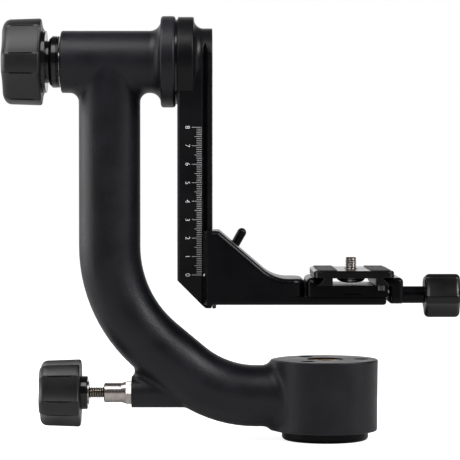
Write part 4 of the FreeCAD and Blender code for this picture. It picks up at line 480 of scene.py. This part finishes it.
# %% Skin: a mesh over a grid of points
def skin(name, points, start_pole, end_pole, sharp=35):
    """Quads between neighbouring points of an array (rows, columns, 3) in millimetres.

    The columns close round, and each end closes with a fan of triangles to its pole. Edges sharper
    than the angle in degrees stay sharp. The sum of a . (b x c) over all triangles is six times the
    volume inside: where it is negative, the faces are turned to point outwards.
    """
    rows, columns = points.shape[:2]
    here = np.arange(rows * columns).reshape(rows, columns)
    right = np.roll(here, -1, axis=1)
    quads = np.stack([here, right, np.roll(right, -1, axis=0), np.roll(here, -1, axis=0)], axis=-1)
    quads = quads[:-1].reshape(-1, 4)
    start = np.full(columns, rows * columns)
    start_fan = np.stack([right[0], here[0], start], axis=-1)
    end_fan = np.stack([here[-1], right[-1], start + 1], axis=-1)
    fans = np.vstack([start_fan, end_fan])
    vertices = np.vstack([points.reshape(-1, 3), start_pole, end_pole]) * MM
    triangles = np.vstack([quads[:, :3], quads[:, [0, 2, 3]], fans])
    a, b, c = (vertices[triangles[:, k]] for k in range(3))
    if np.einsum("ij,ij->", a, np.cross(b, c)) < 0:
        quads, fans = quads[:, ::-1], fans[:, ::-1]
    mesh = bpy.data.meshes.new(name)
    mesh.from_pydata(vertices.tolist(), [], quads.tolist() + fans.tolist())
    mesh.update()
    mesh.shade_smooth()
    mesh.set_sharp_from_angle(angle=math.radians(sharp))
    return mesh


# %% Points round an axis
def about_x(along, radius, angle, height):
    """Points at a distance along X, a radius and an angle above the front, round an axis at height.

    x is along, y is minus the radius times the cosine, and z is the height plus the radius times
    the sine.
    """
    along, radius, angle = np.broadcast_arrays(along, radius, angle)
    return np.stack([along, -radius * np.cos(angle), height + radius * np.sin(angle)], axis=-1)


def about_z(along, radius, angle, centre):
    """Points at a height along Z, a radius and an angle, round an upright axis through centre.

    x and y are the centre's plus the radius times the cosine and the sine.
    """
    along, radius, angle = np.broadcast_arrays(along, radius, angle)
    x = centre[0] + radius * np.cos(angle)
    y = centre[1] + radius * np.sin(angle)
    return np.stack([x, y, along], axis=-1)


def full_turn(columns):
    """Angles of the columns, evenly round once."""
    return np.arange(columns) * 2 * np.pi / columns


# %% Put a piece in the scene
def places_of(mesh):
    """The places of a mesh's vertices, as an array (count, 3) in metres."""
    places = np.zeros(len(mesh.vertices) * 3)
    mesh.vertices.foreach_get("co", places)
    return places.reshape(-1, 3)


def add_piece(name, mesh, body, slot, material, *stands_for):
    """Put a mesh in the scene as a piece of one body, with its finish."""
    piece = bpy.data.objects.new(name, mesh)
    bpy.context.scene.collection.objects.link(piece)
    mesh.materials.append(material)
    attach(piece, body)
    if stands_for:
        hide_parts(*stands_for)
    size = np.ptp(places_of(mesh), axis=0) / MM
    print("%-20s %6d faces, %s mm" % (name, len(mesh.polygons), np.round(size, 1)))


# %% [markdown]
# ## Moulded grips
# Each large knob has a grip with five broad lobes. A boolean would leave a knife edge where a
# hollow meets the rim, and a mould never makes one. Here the radius is the smaller of two circles,
# the rim and the hollow, joined by a smooth minimum, so the formula itself rounds the edge between
# them. The mould also leaves a fine line there, which is a narrow notch in the same radius.

# %% Outline of a lobed grip
LOBES = 5
LOBE_STEP = 2 * np.pi / LOBES
SEAM_DEPTH = 0.9
SEAM_SLOPE = 0.3
SEAM_FLAT = 1.2


def smooth_least(a, b, blend):
    """The smaller of two lengths, rounded over a distance blend where they meet."""
    mix = np.clip(0.5 + 0.5 * (b - a) / blend, 0, 1)
    return b + (a - b) * mix - blend * mix * (1 - mix)


def lobed_radius(angle, rim, valley, width, turn, blend=0.5):
    """Radius of the grip's outline at an angle.

    The rim is a circle. A hollow is part of a larger circle whose centre lies outside: it cuts
    valley deep and meets the rim width degrees apart. The lobes start at turn, in degrees.
    """
    half = math.radians(width) / 2
    chord = rim * math.sin(half)
    sag = rim * math.cos(half) - (rim - valley)
    cutter = (chord ** 2 + sag ** 2) / (2 * sag)
    distance = rim - valley + cutter
    off_valley = (angle - math.radians(turn)) % LOBE_STEP - LOBE_STEP / 2
    across = distance * np.sin(off_valley)
    hollow = distance * np.cos(off_valley) - np.sqrt(np.maximum(cutter ** 2 - across ** 2, 0))
    hollow = np.where(np.abs(across) < cutter, hollow, rim * 2)
    return smooth_least(np.full_like(angle, rim), hollow, blend)


def seam_depth(angle, rim, width, turn):
    """Depth of the mould lines at an angle: full at each end of a hollow, fading beside it."""
    off_valley = np.abs((angle - math.radians(turn)) % LOBE_STEP - LOBE_STEP / 2)
    away = rim * np.abs(off_valley - math.radians(width) / 2)
    return SEAM_DEPTH * np.clip(SEAM_FLAT - away / SEAM_SLOPE, 0, 1)


sample = lobed_radius(full_turn(360), rim=20.0, valley=3.0, width=45.0, turn=0.0)
print("a rim of 20 mm with hollows 3 mm deep: %.2f to %.2f mm" % (sample.min(), sample.max()))

# %% Side profile of a grip
CAP_DEPTH = 1.5
INNER_ROUNDING = 1.3
# The recess's mouth: how far below the end, and how far outside the cap.
MOUTH_BEVEL = ((CAP_DEPTH, 0.0), (0.35, 0.0), (0.1, 0.25))
MOUTH_RIM = 0.7
# The mould lines fade over this share of the side's length, and end short of the inner end.
SEAM_FADE = 0.06
SEAM_END = 0.86


def grip_rows(left, right, outline, seam, taper, rounding, cap, bore, bore_depth):
    """Pairs of a place along the axis and a radius, from the cap's recess round to the bore.

    Along the side the radius is the outline less an inset, and across an end it shrinks evenly to
    the cap or the bore. A rounding is a quarter circle: its inset is the radius less the sine part.
    """
    rows = [(left + CAP_DEPTH, 0.5), (left + CAP_DEPTH, cap - 0.15)]
    rows += [(left + below, cap + outside) for below, outside in MOUTH_BEVEL]
    quarter = np.linspace(0, np.pi / 2, 9)
    end_outline = outline - taper - rounding
    for share in np.linspace(0, 1, 8):
        rows.append((left, (cap + MOUTH_RIM) * (1 - share) + end_outline * share))
    for turn in quarter[1:]:
        rows.append((left + rounding * (1 - np.cos(turn)), end_outline + rounding * np.sin(turn)))
    side_length = right - INNER_ROUNDING - left - rounding
    for share in np.linspace(0, 1, 17)[1:]:
        fade = np.clip(min(share, SEAM_END - share) / SEAM_FADE, 0, 1)
        along = left + rounding + side_length * share
        rows.append((along, outline - taper * (1 - share) - seam * fade))
    for turn in quarter[1::2]:
        step, inset = INNER_ROUNDING * (1 - np.sin(turn)), INNER_ROUNDING * (1 - np.cos(turn))
        rows.append((right - step, outline - inset))
    for share in np.linspace(0, 1, 5)[1:]:
        rows.append((right, (outline - INNER_ROUNDING) * (1 - share) + bore * share))
    for along in np.linspace(right, right - bore_depth, 4)[1:]:
        rows.append((along, bore))
    return rows


def grip_skin(name, node, height, rim, hollows, bore_depth, **profile):
    """A grip with its axis along X: the outline of the lobes carried along the side profile."""
    left, right = (end[0] for end in corners(node))
    angle = full_turn(900)
    outline = lobed_radius(angle, rim, **hollows)
    seam = seam_depth(angle, rim, hollows["width"], hollows["turn"])
    rows = grip_rows(left, right, outline, seam, bore_depth=bore_depth, **profile)
    points = np.stack([about_x(along, radius, angle, height) for along, radius in rows])
    return skin(name, points, (left + CAP_DEPTH, 0, height), (right - bore_depth, 0, height))


# %% Tilt and pan grips
tilt_grip = grip_skin(
    "tilt_grip", "tilt_knob_grip", TILT_Z, rim=23.9, taper=0.5, rounding=4.5, cap=9.0,
    bore=11.6, bore_depth=13.0, hollows={"valley": 3.0, "width": 45.5, "turn": -4.7})
add_piece("tilt_grip", tilt_grip, "tilt_knob", "grip", GRIP, "tilt_knob_grip")
pan_grip = grip_skin(
    "pan_grip", "pan_knob_grip", LOCK_Z, rim=18.75, taper=0.6, rounding=4.0, cap=7.0,
    bore=9.2, bore_depth=12.0, hollows={"valley": 2.4, "width": 45.5, "turn": 47.5})
add_piece("pan_grip", pan_grip, "pan_lock_knob", "grip", GRIP, "pan_knob_grip")

# %% [markdown]
# ## Quick-release knob
# This small knob has narrow ribs and broad scallops, rounded over at both ends. A gear-like solid
# would have sharp ribs. The outline formula of the grips serves again, with wider hollows.

# %% Knob of the plate clamp
KNOB_RIM = 12.4
KNOB_ROUNDING = 2.6
KNOB_BORE = 3.0
KNOB_BORE_DEPTH = 9.7


def ribbed_knob():
    """Scalloped outline shrunk at both ends along a quarter circle, closed at the outer end."""
    left, right = (end[0] for end in corners("qr_knob"))
    angle = full_turn(200)
    outline = lobed_radius(angle, KNOB_RIM, valley=1.95, width=54, turn=-10.6, blend=0.3)
    end_outline = outline - KNOB_ROUNDING
    insets = [(KNOB_ROUNDING * (1 - np.cos(turn)), KNOB_ROUNDING * (1 - np.sin(turn)))
              for turn in np.linspace(0, np.pi / 2, 8)[1:]]
    rows = [(left + KNOB_BORE_DEPTH, KNOB_BORE), (left, KNOB_BORE)]
    for share in np.linspace(0, 1, 5)[1:]:
        rows.append((left, KNOB_BORE * (1 - share) + end_outline * share))
    rows += [(left + step, outline - inset) for step, inset in insets]
    for along in np.linspace(left + KNOB_ROUNDING, right - KNOB_ROUNDING, 10)[1:]:
        rows.append((along, outline))
    rows += [(right - inset, outline - step) for step, inset in insets]
    for share in np.linspace(0, 1, 7)[1:-1]:
        rows.append((right, end_outline * (1 - share)))
    points = np.stack([about_x(along, radius, angle, CLAMP_Z) for along, radius in rows])
    return skin("clamp_knob", points, (left + KNOB_BORE_DEPTH, 0, CLAMP_Z), (right, 0, CLAMP_Z))


add_piece("clamp_knob", ribbed_knob(), "qr_knob", "grip", CLAMP_GRIP, "qr_knob")

# %% [markdown]
# ## Screw threads
# A thread is a ridge wound round a shaft. It could be a small triangle swept along a helix, but the
# turns would overlap at their roots. A radius that rises and falls once for each turn, and shifts
# by one pitch for each time round, gives a closed surface in one piece. Shade makes a real thread
# dark at its roots, so its metal is painted darker with the depth too: painted shade.

# %% Shape of a thread
THREAD_MAJOR = 3.175
THREAD_PITCH = 1.27
FLANK_SLOPE = 1.3
CREST_FLAT = 0.15


def thread_radius(along, angle, depth):
    """Radius of a 60 degree thread, flattened a little at crest and root.

    It is the major radius less the depth times a triangle wave of (along / pitch - angle / turn).
    """
    phase = (along / THREAD_PITCH - angle / (2 * np.pi)) % 1.0
    wave = np.abs(phase * 2 - 1)
    return THREAD_MAJOR - depth * np.clip(wave * FLANK_SLOPE - CREST_FLAT, 0, 1)


def threaded_rod(name, along, profile, columns, place):
    """A closed rod whose rows follow the places along, with a radius from profile(along, angle)."""
    grid_along, grid_angle = np.meshgrid(along, full_turn(columns), indexing="ij")
    points = place(grid_along, profile(grid_along, grid_angle), grid_angle)
    poles = place(np.array([along[0], along[-1]]), np.zeros(2), np.zeros(2))
    return skin(name, points, poles[0], poles[1], sharp=60)


crest, root = (float(thread_radius(place * THREAD_PITCH, 0.0, 0.7)) for place in (0.5, 0.0))
print("a thread 0.7 mm deep: crest %.3f mm, root %.3f mm from the axis" % (crest, root))

# %% Finish of a thread
# Painted shade: at a thread's root the colour falls to this share of the metal's own.
ROOT_SHADE = 0.05


def threaded_metal(name, base, axis, centre, root, crest):
    """Metal with painted shade, darker from crest to root of a thread: two radii in millimetres.

    The distance from the screw's axis is the length of the position less the centre, once its part
    along the axis is taken away.
    """
    material, tree, shader = new_material(name)
    shader.inputs["Metallic"].default_value = 1.0
    shader.inputs["Roughness"].default_value = 0.25
    source = tree.nodes.new("ShaderNodeTexCoord")
    flatten = tree.nodes.new("ShaderNodeVectorMath")
    flatten.operation = "MULTIPLY_ADD"
    keep = [0.0 if letter == axis else 1.0 for letter in "XYZ"]
    flatten.inputs[1].default_value = keep
    flatten.inputs[2].default_value = [-value * MM * share for value, share in zip(centre, keep)]
    length = tree.nodes.new("ShaderNodeVectorMath")
    length.operation = "LENGTH"
    depth = tree.nodes.new("ShaderNodeMapRange")
    depth.inputs["From Min"].default_value = root * MM
    depth.inputs["From Max"].default_value = crest * MM
    tree.links.new(source.outputs["Object"], flatten.inputs[0])
    tree.links.new(flatten.outputs["Vector"], length.inputs[0])
    tree.links.new(length.outputs["Value"], depth.inputs["Value"])
    # Painted shade: the colour runs from the darkened root up to the metal's own at the crest.
    vary_colour(tree, shader, depth.outputs["Result"], [value * ROOT_SHADE for value in base], base)
    return material


# %% Screw of the pan lock
ROW_STEP = 0.127
LOCK_TIP_BEVEL = 0.6
LOCK_TIP_RADIUS = 2.5
LOCK_TIP_RISE = 0.675
lock_left, lock_tip = (end[0] for end in corners("pan_lock_screw"))


def lock_screw_profile(along, angle):
    """Threaded over its whole length, with a bevel at the tip."""
    tip_room = np.clip((lock_tip - along) / LOCK_TIP_BEVEL, 0, 1)
    tip = LOCK_TIP_RADIUS + LOCK_TIP_RISE * tip_room
    return np.minimum(thread_radius(along, angle, depth=0.7), tip)


lock_rod = threaded_rod(
    "lock_screw", np.arange(lock_left, lock_tip + 0.01, ROW_STEP), lock_screw_profile, 36,
    lambda along, radius, angle: about_x(along, radius, angle, LOCK_Z))
# The lock screw's thread roots carry painted shade.
lock_finish = threaded_metal(
    "lock_thread", (0.42, 0.38, 0.34), "X", (0, 0, LOCK_Z), root=2.55, crest=3.1)
add_piece("lock_screw", lock_rod, "pan_lock_knob", "stainless", lock_finish, "pan_lock_screw")

# %% Screw for the camera
HEAD_RADIUS = 5.9
HEAD_HEIGHT = 1.8
HEAD_EDGE = 0.3
NECK_RADIUS = 2.7
STUD_TIP_BEVEL = 0.7
STUD_TIP_RADIUS = 2.4
STUD_TIP_RISE = 0.8
stud_low, stud_high = (end[2] for end in corners("camera_screw"))
plate_high = corners("qr_plate")[1][2]


def camera_stud_profile(along, angle):
    """Wide head, plain neck and then the camera thread with a bevelled tip."""
    tip_room = np.clip((stud_high - along) / STUD_TIP_BEVEL, 0, 1)
    tip = STUD_TIP_RADIUS + STUD_TIP_RISE * tip_room
    thread = np.minimum(thread_radius(along, angle, depth=0.6), tip)
    radius = np.where(along > plate_high, thread, NECK_RADIUS)
    head = HEAD_RADIUS - HEAD_EDGE * np.clip(1 - (along - stud_low) / HEAD_EDGE, 0, 1)
    return np.where(along <= stud_low + HEAD_HEIGHT, head, radius)


head_rows = stud_low + np.array([0, HEAD_EDGE, 1.0, HEAD_HEIGHT, HEAD_HEIGHT + 0.001, 4.0])
thread_rows = np.arange(plate_high + 0.001, stud_high + 0.001, 0.1)
camera_stud = threaded_rod(
    "camera_stud", np.concatenate([head_rows, [plate_high], thread_rows]), camera_stud_profile, 48,
    lambda along, radius, angle: about_z(along, radius, angle, (PLATE_X, 0)))
# The camera stud's thread roots carry painted shade.
stud_finish = threaded_metal(
    "stud_thread", (0.62, 0.55, 0.52), "Z", (PLATE_X, 0, 0), root=2.6, crest=3.1)
add_piece("camera_stud", camera_stud, "camera_screw", "stainless", stud_finish, "camera_screw")

# %% [markdown]
# ## Springs
# Three small springs push the clamp jaws open. A screw modifier could wind one, but it leaves the
# wire's ends open. Here the wire is a circle for every point of a helix, standing across the wire,
# and the circles join into a closed tube.

# %% Coil springs
POINTS_PER_TURN = 24
WIRE_SIDES = 10


def coil(name, start, axis, length, radius, wire, turns):
    """Wire of a radius on a helix about an axis from start, closed at both ends.

    Along the helix, the circle's directions are the outward radius and its cross product with the
    wire's own direction.
    """
    axis = np.asarray(axis, float)
    side = np.array([0.0, 0.0, 1.0]) if abs(axis[2]) < 0.5 else np.array([1.0, 0.0, 0.0])
    other = np.cross(axis, side)
    angle = np.linspace(0, 2 * np.pi * turns, POINTS_PER_TURN * turns + 1)[:, None]
    out = np.cos(angle) * side + np.sin(angle) * other
    rise = wire + (length - 2 * wire) * angle / angle[-1]
    centre = np.asarray(start, float) + out * (radius - wire) + rise * axis
    run = np.gradient(centre, axis=0)
    run /= np.linalg.norm(run, axis=1, keepdims=True)
    across = np.cross(run, out)
    ring = full_turn(WIRE_SIDES)[None, :, None]
    points = centre[:, None] + wire * (np.cos(ring) * out[:, None] + np.sin(ring) * across[:, None])
    return skin(name, points, centre[0], centre[-1])


# %% Springs of the plate clamp
JAW_SPRING_SIDE = 19.0
jaw_springs = corners("qr_jaw_springs")
for side, label in ((-1, "front"), (1, "rear")):
    name = "jaw_spring_" + label
    start = (jaw_springs[0][0], side * JAW_SPRING_SIDE, middle("qr_jaw_springs")[2])
    spring = coil(
        name, start, (1, 0, 0), length=jaw_springs[1][0] - jaw_springs[0][0], radius=2.5,
        wire=0.35, turns=6)
    add_piece(name, spring, "bracket", "steel", STEEL_X, "qr_jaw_springs")

# %% Spring of the height clamp
lever_x, lever_y, lever_z = middle("height_jaw_spring")
lever_spring = coil(
    "lever_spring", (lever_x, lever_y - 2.5, lever_z), (0, 1, 0), length=4.85, radius=4.0,
    wire=0.4, turns=4)
add_piece("lever_spring", lever_spring, "bracket", "steel", STEEL_Z, "height_jaw_spring")

# %% [markdown]
# ## Ribbed pads
# The plate's two rubber pads have fine ribs across, so that a lens foot can't creep. A bump would
# look flat against the light, so the ribs are a rippled sheet with straight sides and a flat base.

# %% Pads of the plate
RIB = 1.6
RIB_FLAT = 0.33
GROOVE_SLOPE = 0.08
GROOVE_DEPTH = 0.3
PAD_EDGE = 0.15
PAD_INNER = 9.0
PAD_OUTER = 19.4


def ribbed_pad(name, left, right, front, rear, low, high):
    """A block whose top dips by a shallow groove between each two ribs.

    The height is high less the groove's depth, faded in where the distance from a rib's middle
    passes a third of the rib spacing. Each row of points goes once round the block's section.
    """
    along = np.linspace(front, rear, 520)
    phase = np.abs((along / RIB) % 1.0 - 0.5)
    top = high - GROOVE_DEPTH * np.clip((phase - RIB_FLAT) / GROOVE_SLOPE, 0, 1)
    base = np.full_like(along, low)
    section = (
        (left, base), (left, top - PAD_EDGE), (left + PAD_EDGE, top),
        (right - PAD_EDGE, top), (right, top - PAD_EDGE), (right, base))
    edges = [np.stack([np.full_like(along, x), along, z], axis=-1) for x, z in section]
    centre_x, centre_z = (left + right) / 2, (low + high) / 2
    poles = (centre_x, front, centre_z), (centre_x, rear, centre_z)
    return skin(name, np.stack(edges, axis=1), *poles, sharp=30)


pads_low, pads_high = corners("plate_pads")
for side, label in ((-1, "left"), (1, "right")):
    left, right = sorted((PLATE_X + side * PAD_INNER, PLATE_X + side * PAD_OUTER))
    name = "pad_" + label
    pad = ribbed_pad(name, left, right, pads_low[1], pads_high[1], pads_low[2], pads_high[2])
    add_piece(name, pad, "qr_plate", "pad", PAD, "plate_pads")

# %% [markdown]
# ## The centimetre scale
# The swing arm carries a printed scale. An image texture could show it, but it would blur up close
# and hide its sizes. Ink on metal has almost no height, so each line and number is a thin chip that
# stands a few hundredths of a millimetre out of the face. All lines are made in one array, with
# eight corners and six quads for each.

# %% Lines of the scale
arm_left, _, arm_foot = corners("swing_arm")[0]
FACE_Y = -18.2
SCALE_RIGHT = arm_left + 13.3
SCALE_ZERO = arm_foot + 18.2
INK = 0.04
INK_SUNK = 0.01
LINE_WIDTH = 0.22
CENTIMETRE_LINE, HALF_LINE, MILLIMETRE_LINE = 5.4, 3.9, 2.8


def line_blocks(lengths, heights):
    """Boxes of the given lengths whose right ends are in line, one at each height."""
    unit = np.array([[x, y, z] for x in (0, 1) for y in (0, 1) for z in (0, 1)], float)
    places = np.zeros((len(lengths), 8, 3))
    places[:, :, 0] = SCALE_RIGHT - lengths[:, None] * unit[None, :, 0]
    places[:, :, 1] = FACE_Y - INK * unit[None, :, 1] + INK_SUNK
    places[:, :, 2] = heights[:, None] + LINE_WIDTH * (unit[None, :, 2] - 0.5)
    box = np.array([
        [2, 3, 1, 0], [5, 7, 6, 4], [1, 5, 4, 0], [6, 7, 3, 2], [4, 6, 2, 0], [3, 7, 5, 1]])
    faces = (box[None] + 8 * np.arange(len(lengths))[:, None, None]).reshape(-1, 4)
    mesh = bpy.data.meshes.new("scale_lines")
    mesh.from_pydata((places.reshape(-1, 3) * MM).tolist(), [], faces.tolist())
    return mesh


marks = np.arange(0, 81)
short_lengths = np.where(marks % 5 == 0, HALF_LINE, MILLIMETRE_LINE)
lengths = np.where(marks % 10 == 0, CENTIMETRE_LINE, short_lengths)
lines = line_blocks(lengths, SCALE_ZERO + marks.astype(float))
add_piece("scale_lines", lines, "swing_arm", "anodised", THIN_PRINT)

# %% Numbers of the scale
DIGIT_SIZE = 3.6
DIGIT_THINNING = -0.05
DIGIT_X = arm_left + 5.7


def number_mesh(digit):
    """A digit as a thin solid, lying on its side against the face of the swing arm.

    The text's up direction becomes X, its reading direction points down, and its front faces out.
    """
    text = bpy.data.curves.new("digit", "FONT")
    text.body = str(digit)
    text.size = DIGIT_SIZE * MM
    text.extrude = INK / 2 * MM
    text.offset = DIGIT_THINNING * MM
    text.align_x = "CENTER"
    text.align_y = "CENTER"
    holder = bpy.data.objects.new("digit", text)
    bpy.context.scene.collection.objects.link(holder)
    bpy.context.view_layer.update()
    depsgraph = bpy.context.evaluated_depsgraph_get()
    mesh = bpy.data.meshes.new_from_object(holder.evaluated_get(depsgraph))
    bpy.data.objects.remove(holder)
    flat = places_of(mesh)
    flat[:, :2] -= (flat[:, :2].max(axis=0) + flat[:, :2].min(axis=0)) / 2
    placed = np.stack([
        DIGIT_X * MM + flat[:, 1],
        FACE_Y * MM - flat[:, 2] - INK / 4 * MM,
        (SCALE_ZERO + 10 * digit) * MM - flat[:, 0],
    ], axis=-1)
    mesh.vertices.foreach_set("co", placed.ravel())
    mesh.update()
    return mesh


for digit in range(9):
    add_piece("scale_number_%d" % digit, number_mesh(digit), "swing_arm", "anodised", PRINT)

# %% [markdown]
# ## Index dot
# A drop of white paint on the bracket's claw shows which line of the scale the cradle stands at. A
# white patch in the finish would lie flat, but paint dries as a low dome, so it is a small piece
# that faces the way the claw's slanted side does.

# %% Index dot
DOT_RADIUS = 0.55
DOT_HEIGHT = 0.4
DOT_PLACE = (arm_left + 14.7, -20.9, SCALE_ZERO)
DOT_FACING = (-0.7, -0.714)


def index_dot():
    """A half dome: a circle whose radius is the sine of a tilt, and whose height is its cosine.

    Its height runs along the facing direction, and its width across it and upwards.
    """
    tilt = np.linspace(0.05, np.pi / 2, 6)
    grid_tilt, grid_angle = np.meshgrid(tilt, full_turn(24), indexing="ij")
    across = DOT_RADIUS * np.sin(grid_tilt) * np.cos(grid_angle)
    up = DOT_RADIUS * np.sin(grid_tilt) * np.sin(grid_angle)
    out = DOT_HEIGHT * np.cos(grid_tilt)
    x, y, z = DOT_PLACE
    face_x, face_y = DOT_FACING
    points = np.stack([
        x + face_x * out - face_y * across,
        y + face_y * out + face_x * across,
        z + up], axis=-1)
    tip = (x + face_x * DOT_HEIGHT, y + face_y * DOT_HEIGHT, z)
    return skin("index_dot", points, tip, (x, y, z))


add_piece("index_dot", index_dot(), "bracket", "anodised", PRINT)
